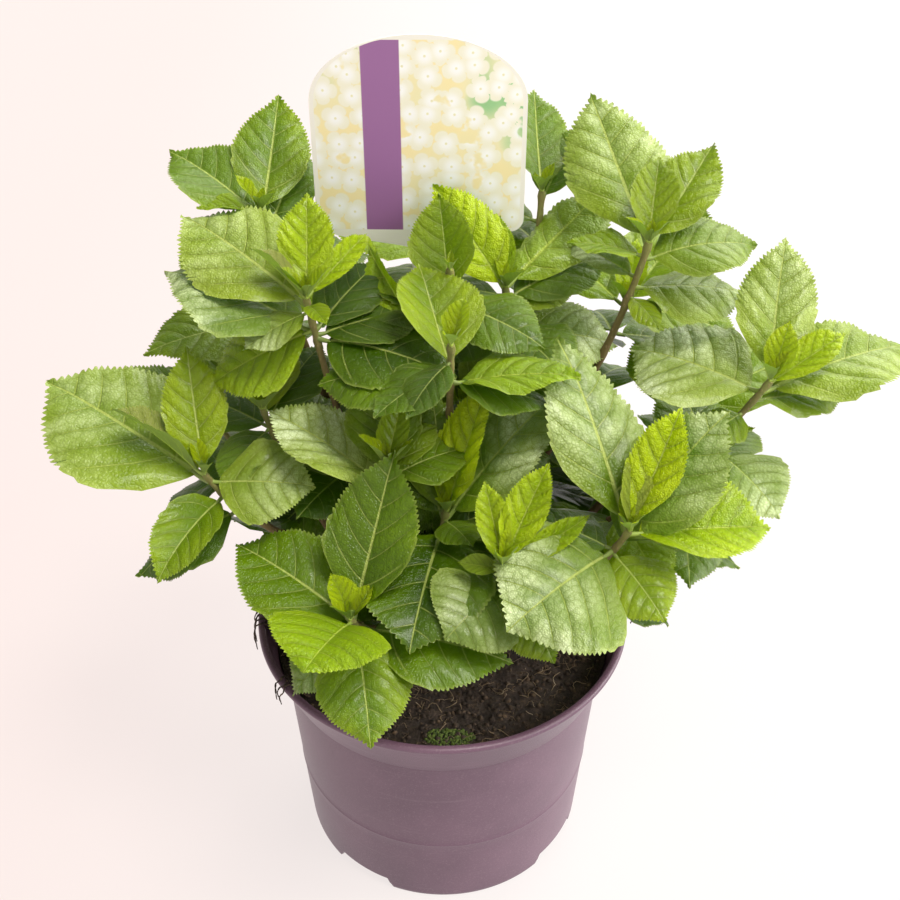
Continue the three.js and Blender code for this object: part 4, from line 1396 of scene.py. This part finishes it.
class Grower(Plan):
    """A Geometry Nodes tree that scatters copies of a small shape over a face."""

    SOCKETS = {"Density": "Float", "Smallest": "Float", "Largest": "Float", "Lift": "Float", "Tilt": "Float",
               "Seed": "Int", "Finish": "Material"}

    def __init__(self, name):
        tree = bpy.data.node_groups.new(name, "GeometryNodeTree")
        super().__init__(tree)
        tree.interface.new_socket("Ground", in_out="INPUT", socket_type="NodeSocketGeometry")
        for label, kind in self.SOCKETS.items():
            tree.interface.new_socket(label, in_out="INPUT", socket_type="NodeSocket" + kind)
        tree.interface.new_socket("Pieces", in_out="OUTPUT", socket_type="NodeSocketGeometry")
        self.entry = tree.nodes.new("NodeGroupInput")
        self.exit = tree.nodes.new("NodeGroupOutput")

    def given(self, label):
        return Value(self, self.entry.outputs[label])

    def scatter(self, shape):
        """Puts the shape on the ground at random, turned and sized at random, as one real mesh."""
        seed = self.given("Seed")
        spots = self.node("GeometryNodeDistributePointsOnFaces", None,
                          {"Mesh": self.given("Ground"), "Density": self.given("Density"), "Seed": seed})
        turn = self.node("FunctionNodeRandomValue", {"data_type": "FLOAT_VECTOR"},
                         {0: (-1.0, -1.0, -180.0), 1: (1.0, 1.0, 180.0), "Seed": seed})
        lean = self.node("ShaderNodeCombineXYZ", None,
                         {0: self.given("Tilt"), 1: self.given("Tilt"), 2: math.radians(1)})
        turn = self.node("ShaderNodeVectorMath", {"operation": "MULTIPLY"}, {0: turn, 1: lean})
        size = self.node("FunctionNodeRandomValue", {"data_type": "FLOAT"},
                         {2: self.given("Smallest"), 3: self.given("Largest"), "Seed": seed + 1}, output=1)
        copies = self.node("GeometryNodeInstanceOnPoints", None,
                           {"Points": spots, "Instance": shape, "Pick Instance": True,
                            "Rotation": turn, "Scale": size})
        lift = self.node("ShaderNodeCombineXYZ", None, {2: self.given("Lift")})
        copies = self.node("GeometryNodeTranslateInstances", None,
                           {"Instances": copies, "Translation": lift, "Local Space": False})
        real = self.node("GeometryNodeRealizeInstances", None, {0: copies})
        dressed = self.node("GeometryNodeSetMaterial", None,
                            {"Geometry": real, "Material": self.given("Finish")})
        self.tree.links.new(dressed.socket, self.exit.inputs[0])
        return self.tree

    def shaken(self, shape, scale, amount, seed):
        """The shape with its points pushed about by noise."""
        place = self.node("GeometryNodeInputPosition")
        noise = self.node("ShaderNodeTexNoise", {"noise_dimensions": "4D"},
                          {"Vector": place, "W": float(seed), "Scale": scale, "Detail": 1.0}, output=1)
        push = self.node("ShaderNodeVectorMath", {"operation": "SUBTRACT"}, {0: noise, 1: (0.5, 0.5, 0.5)})
        push = self.node("ShaderNodeVectorMath", {"operation": "SCALE"}, {0: push, "Scale": amount})
        return self.node("GeometryNodeSetPosition", None, {"Geometry": shape, "Offset": push})

    def bundle(self, shapes):
        """Several shapes to pick from, each kept as one instance."""
        made = self.tree.nodes.new("GeometryNodeGeometryToInstance")
        for shape in shapes:
            self.tree.links.new(shape.socket, made.inputs[0])
        return Value(self, made.outputs[0])


def crumb_tree():
    """Lumps of unit size."""
    grower = Grower("crumbs")
    lumps = []
    for seed in range(4):
        ball = grower.node("GeometryNodeMeshIcoSphere", None, {"Radius": 1.0, "Subdivisions": 2})
        lumps.append(grower.shaken(ball, 0.9, 1.5, seed))
    return grower.scatter(grower.bundle(lumps))


def fibre_tree():
    """Curly threads of unit length."""
    grower = Grower("fibres")
    threads = []
    for seed in range(5):
        line = grower.node("GeometryNodeCurvePrimitiveLine", None,
                           {"Start": (-0.5, 0, 0), "End": (0.5, 0, 0)})
        line = grower.node("GeometryNodeResampleCurve", None, {"Curve": line, "Count": 12})
        line = grower.shaken(line, 1.6, 1.3, seed)
        ring = grower.node("GeometryNodeCurvePrimitiveCircle", None, {"Resolution": 4, "Radius": 0.016})
        threads.append(grower.node("GeometryNodeCurveToMesh", None,
                                   {"Curve": line, "Profile Curve": ring, "Fill Caps": True}))
    return grower.scatter(grower.bundle(threads))


def grown_from(ground, tree, settings, name):
    """Runs a tree over a ground mesh and returns what it grows as a plain mesh."""
    carrier = placed(name + "_ground", ground)
    modifier = carrier.modifiers.new("grow", "NODES")
    modifier.node_group = tree
    for item in tree.interface.items_tree:
        if item.in_out == "INPUT" and item.name in settings:
            modifier[item.identifier] = settings[item.name]
    shown = carrier.evaluated_get(bpy.context.evaluated_depsgraph_get())
    mesh = bpy.data.meshes.new_from_object(shown)
    carrier.modifiers.remove(modifier)
    bpy.data.objects.remove(carrier)
    mesh.name = name
    mesh.polygons.foreach_set("use_smooth", np.ones(len(mesh.polygons), bool))
    return placed(name, mesh)


def ground_mesh(name, rings):
    """Rings of points as a loose face to scatter on."""
    mesh = bpy.data.meshes.new(name)
    faces = ring_faces(len(rings), len(rings[0]))[:, ::-1]
    mesh.from_pydata(np.concatenate(rings).tolist(), [], faces.tolist())
    return mesh


def compost_ground():
    radii = np.linspace(4 * MM, 101 * MM, 24)
    return ground_mesh("ground", [compost_ring(radius, circle(96)) for radius in radii])


def moss_ground():
    """A small uneven patch by the front rim."""
    angle = circle(24)
    rings = []
    for share in (0.1, 0.55, 1.0):
        x = MOSS_PLACE[0] + MOSS_REACH[0] * share * np.cos(angle)
        y = MOSS_PLACE[1] + MOSS_REACH[1] * share * np.sin(angle)
        rings.append(np.stack([x, y, compost_height(x, y)], -1))
    return ground_mesh("moss ground", rings)


def litter(name, slot, ground, tree, finish, density, sizes, lift, tilt, seed):
    """Mounts loose pieces grown on a ground. Their smallest and largest size and how far they are lifted
    are in millimetres."""
    settings = {"Density": density, "Smallest": sizes[0] * MM, "Largest": sizes[1] * MM, "Lift": lift * MM,
                "Tilt": tilt, "Seed": seed, "Finish": finish}
    mount(grown_from(ground, tree, settings, name), slot)


def compost_litter():
    """Loose crumbs and dry root fibres all over the compost, and a tuft of moss."""
    crumbs, fibres = crumb_tree(), fibre_tree()
    any_way, nearly_flat = 3.1, math.radians(18)
    litter("compost_crumbs", "compost", compost_ground(), crumbs, crumb_finish(),
           62000.0, (0.35, 1.9), -0.2, any_way, 3)
    litter("root_fibres", "peat_fibre", compost_ground(), fibres, fibre_finish(),
           15000.0, (5, 17), 0.7, nearly_flat, 5)
    litter("moss_tuft", "compost", moss_ground(), crumbs, moss_finish(),
           900000.0, (0.4, 1.1), 0.3, any_way, 9)


def peat_strands():
    """Rooty strands of peat that have caught on the rim and hang over it."""
    rng = np.random.default_rng(SEED + 4)
    strands = Gathering()
    for bearing, hang in ((184, 21), (186, 26), (188, 14), (182, 12), (213, 13), (215, 9), (216, 12),
                          (-4, 7)):
        turn = math.radians(bearing)
        line = []
        for out, height in ((99, 153), (106, 164), (110.4, 171.8), (114, 172.3), (116.6, 169),
                            (118.2, 171 - hang * 0.55), (117.6, 171 - hang)):
            spin = turn + rng.uniform(-1.6, 1.6) / out
            line.append([out * math.cos(spin), out * math.sin(spin), height + rng.uniform(-0.4, 0.4)])
        line = curved(np.array(line) * MM, 5)
        points, faces = tube(line, np.linspace(0.75, 0.3, len(line)) * MM, 6,
                             1 + 0.35 * rng.standard_normal((len(line), 6)).clip(-1.5, 1.5))
        strands.add(points, faces)
    mount(strands.build("peat_strands", [crumb_finish()], crease=180), "compost")


# ---------------------------------------------------------------------------------------------------------
# Picture label
# ---------------------------------------------------------------------------------------------------------
def card_half_width(height):
    """Half the card's width at a height: an arched head, square sides, a tail that ends in a point."""
    half = (LABEL_HIGH.x - LABEL_LOW.x) / 2
    arch = half * np.sqrt(np.clip(1 - ((height - CARD_SHOULDER) / (LABEL_HIGH.z - CARD_SHOULDER)) ** 2, 0, 1))
    below = np.clip(CARD_FOOT + CARD_CORNER - height, 0, None)
    body = half - CARD_CORNER + np.sqrt(np.clip(CARD_CORNER ** 2 - below ** 2, 0, None))
    tail = np.minimum(CARD_TAIL, (height - LABEL_LOW.z) / 2)
    neck = CARD_TAIL + (half - CARD_CORNER - CARD_TAIL) * smooth(height, CARD_FOOT - CARD_NECK, CARD_FOOT)
    return np.select([height > CARD_SHOULDER, height >= CARD_FOOT, height > CARD_FOOT - CARD_NECK],
                     [arch, body, neck], tail)


def picture_label():
    low, high = LABEL_LOW.z, LABEL_HIGH.z
    lift = (high - CARD_SHOULDER) * np.sin(np.linspace(0, math.pi / 2, 30))
    neck, corner = CARD_FOOT - CARD_NECK, CARD_FOOT + CARD_CORNER
    heights = np.concatenate([np.linspace(low + 0.3 * MM, neck, 14, endpoint=False),
                              np.linspace(neck, corner, 22, endpoint=False),
                              np.linspace(corner, CARD_SHOULDER, 12, endpoint=False), CARD_SHOULDER + lift])
    share = np.linspace(-1, 1, CARD_COLUMNS + 1)[None]
    half = np.maximum(card_half_width(heights), 0.2 * MM)[:, None]
    middle = (LABEL_LOW.x + LABEL_HIGH.x) / 2
    x = middle + share * half
    y = (LABEL_LOW.y + LABEL_HIGH.y) / 2 + CARD_BOW * ((x - middle) / half.max()) ** 2 - CARD_BOW / 2
    z = np.broadcast_to(heights[:, None], x.shape)
    grid = np.stack([x, y, z], -1)
    back = np.array([0, CARD_THICKNESS / 2, 0])
    number = np.arange(x.size).reshape(x.shape)
    cells = [number[:-1, :-1], number[:-1, 1:], number[1:, 1:], number[1:, :-1]]
    front = np.stack(cells, -1).reshape(-1, 4)
    rear = front[:, ::-1] + x.size
    loop = np.concatenate([number[0, :-1], number[:-1, -1], number[-1, :0:-1], number[:0:-1, 0]])
    after = np.roll(loop, -1)
    rim = np.stack([loop, loop + x.size, after + x.size, after], -1)
    inset = np.minimum((1 - abs(share)) * half, (high - z) * 0.9)
    inset = np.minimum(inset, np.clip(z - CARD_FOOT, 0, None))
    card = Gathering()
    card.add(np.concatenate([(grid - back).reshape(-1, 3), (grid + back).reshape(-1, 3)]), [front, rear, rim],
             slots=[0, 1, 1], values={"inset": np.tile(inset.ravel(), 2)})
    piece = card.build("picture_label", [print_finish(middle, half.max()), card_finish()], crease=40)
    mount(piece, "label", "care_label")


def print_finish(middle, half):
    """A plain picture: pale four-petalled florets, one to a cell, over warm and green patches, with a plum
    band down the left and a pale border."""
    finish = Finish("printed card")
    place = finish.place()
    x, _, z = finish.split(place)
    spot = finish.scaled(finish.node("ShaderNodeCombineXYZ", None, {0: x, 1: z}), 78.0)
    cell = finish.node("ShaderNodeTexVoronoi", {"voronoi_dimensions": "2D"},
                       {"Vector": spot, "Scale": 1.0, "Randomness": 0.72})
    _, colour, middle_of_cell = finish.outputs(cell)
    off = finish.node("ShaderNodeVectorMath", {"operation": "SUBTRACT"}, {0: spot, 1: middle_of_cell})
    across, up, _ = finish.split(off)
    lot = finish.node("ShaderNodeSeparateColor", None, {0: colour})
    angle = finish.maths("ARCTAN2", up, across) * 2.0 + lot * 6.0
    away = finish.node("ShaderNodeVectorMath", {"operation": "LENGTH"}, {0: off}, output=1)
    lobe = finish.maths("POWER", abs(finish.maths("COSINE", angle)), 0.4) * 0.3 + 0.38
    petal = finish.step_down(away, lobe * 0.86, lobe)
    shade = finish.step_up(away, 0.06, 0.5)
    soft = finish.noise(place, 60.0, 3.0)
    ground = finish.ramp(finish.noise(place, 17.0, 2.0), (0.46, (0.95, 0.82, 0.44)),
                         (0.56, (0.88, 0.82, 0.5)), (0.64, (0.34, 0.62, 0.28)), (0.78, (0.1, 0.3, 0.12)))
    bloom = finish.mix(shade, (1.0, 1.0, 0.98), (0.92, 0.89, 0.72))
    heart = finish.step_down(away, 0.03, 0.08) * 0.6
    bloom = finish.mix(heart, bloom, (0.75, 0.68, 0.2))
    picture = finish.mix(petal * finish.step_down(soft, 0.62, 0.68), ground, bloom)
    off = abs((x - middle) / half - BAND_PLACE)
    band = finish.step_down(off, BAND_WIDTH / 2, BAND_WIDTH / 2 + 0.01)
    picture = finish.mix(band, picture, (0.33, 0.14, 0.34))
    border = finish.step_down(finish.attribute("inset"), CARD_BORDER, CARD_BORDER + 0.3 * MM)
    picture = finish.mix(border, picture, (0.92, 0.89, 0.8))
    return finish.close(finish.surface({"Base Color": picture, "Roughness": 0.34 + soft * 0.12}))


def card_finish():
    finish = Finish("plain card")
    fleck = finish.noise(finish.place(), 900.0, 3.0)
    base = finish.ramp(fleck, (0.3, (0.78, 0.75, 0.66)), (0.7, (0.86, 0.84, 0.77)))
    return finish.close(finish.surface({"Base Color": base, "Roughness": 0.55 + fleck * 0.1}))


# ---------------------------------------------------------------------------------------------------------
# Stage
# ---------------------------------------------------------------------------------------------------------
def camera():
    data = bpy.data.cameras.new("camera")
    data.lens = CAMERA_LENS
    data.sensor_width = CAMERA_SENSOR
    eye = placed("camera", data)
    eye.location = CAMERA_PLACE
    eye.rotation_euler = Euler((math.radians(90 - CAMERA_PITCH), 0, math.radians(-CAMERA_YAW)))
    bpy.context.scene.camera = eye


def soft_sun(name, tilt, bearing, spread, strength, colour):
    """A large even light, such as a broad lamp shade far off."""
    data = bpy.data.lights.new(name, "SUN")
    data.angle = math.radians(spread)
    data.energy = strength
    data.color = colour
    placed(name, data).rotation_euler = Euler((math.radians(tilt), 0, math.radians(bearing)))


def stage():
    """A pale floor that glows a little, dimmer and warmer to the left as a painted falloff of the light from
    the right, under an even sky and soft lights.
    """
    mesh = bpy.data.meshes.new("floor")
    corners = [(x * FLOOR_REACH, y * FLOOR_REACH, 0) for x, y in ((-1, -1), (1, -1), (1, 1), (-1, 1))]
    mesh.from_pydata(corners, [], [(0, 1, 2, 3)])
    floor = placed("floor", mesh)
    finish = Finish("pale floor")
    place = finish.place()
    tint = finish.noise(place, 3.0, 4.0)
    base = finish.ramp(tint, (0.3, (0.09, 0.075, 0.072)), (0.7, (0.09, 0.078, 0.075)))
    x, _, _ = finish.split(place)
    # Painted light: the glow dims and warms towards the left, as the light falling off away from the right
    glow = finish.mix(finish.step_up(x, -0.5, 0.35), (0.95, 0.82, 0.79), (1.0, 0.99, 0.98))
    skin = finish.surface({"Base Color": base, "Roughness": 0.8 + tint * 0.1, "Emission Strength": 0.83,
                           "Emission Color": glow})
    mesh.materials.append(finish.close(skin))

    world = bpy.data.worlds.new("studio")
    world.use_nodes = True
    sky = world.node_tree.nodes["Background"]
    sky.inputs["Color"].default_value = (1.0, 0.96, 0.95, 1.0)
    sky.inputs["Strength"].default_value = 0.4
    bpy.context.scene.world = world
    for name, settings in LIGHTS.items():
        soft_sun(name, *settings)
    bpy.context.scene.view_settings.view_transform = "Standard"


# ---------------------------------------------------------------------------------------------------------
# Assembly
# ---------------------------------------------------------------------------------------------------------
camera()
stage()
pot_shell()
compost_bed()
compost_litter()
peat_strands()
picture_label()

bush = grow_bush()
mature = [leaf_face("mature leaf", MATURE_TONES, VEIN_MATURE, 0.25, GLOW_MATURE, 0.9 * MM, 0.2),
          leaf_back("mature leaf underside", BACK_TONES, VEIN_MATURE, GLOW_MATURE, 0.3 * MM)]
young = [leaf_face("young leaf", YOUNG_TONES, VEIN_YOUNG, 0.3, GLOW_YOUNG, 1.6 * MM, 0.16),
         leaf_back("young leaf underside", BACK_TONES, VEIN_YOUNG, GLOW_YOUNG, 0.3 * MM)]
for sector, sheaf in bush.mature.items():
    spread_bake_map(sheaf)
    piece = sheaf.build(f"mature_leaves_{sector}", mature)
    mount(piece, "leaf", *(f"foliage_{shoot}" for shoot in SECTORS[sector]))
for name, sheaf in zip(("young_leaves_left", "young_leaves_right"), bush.young):
    spread_bake_map(sheaf)
    mount(sheaf.build(name, young), "young_leaf")
mount(bush.stalks.build("petioles", [stalk_finish()]), "leaf")
bark = bark_finish()
limbs = [*(f"stem_{stem}" for stem in STEMS), *(f"bough_{shoot}" for shoot in STEM_OF)]
mount(bush.wood.build("stems_and_boughs", [bark]), "bark", *limbs)
mount(bush.twigs.build("side_twigs", [bark]), "bark")
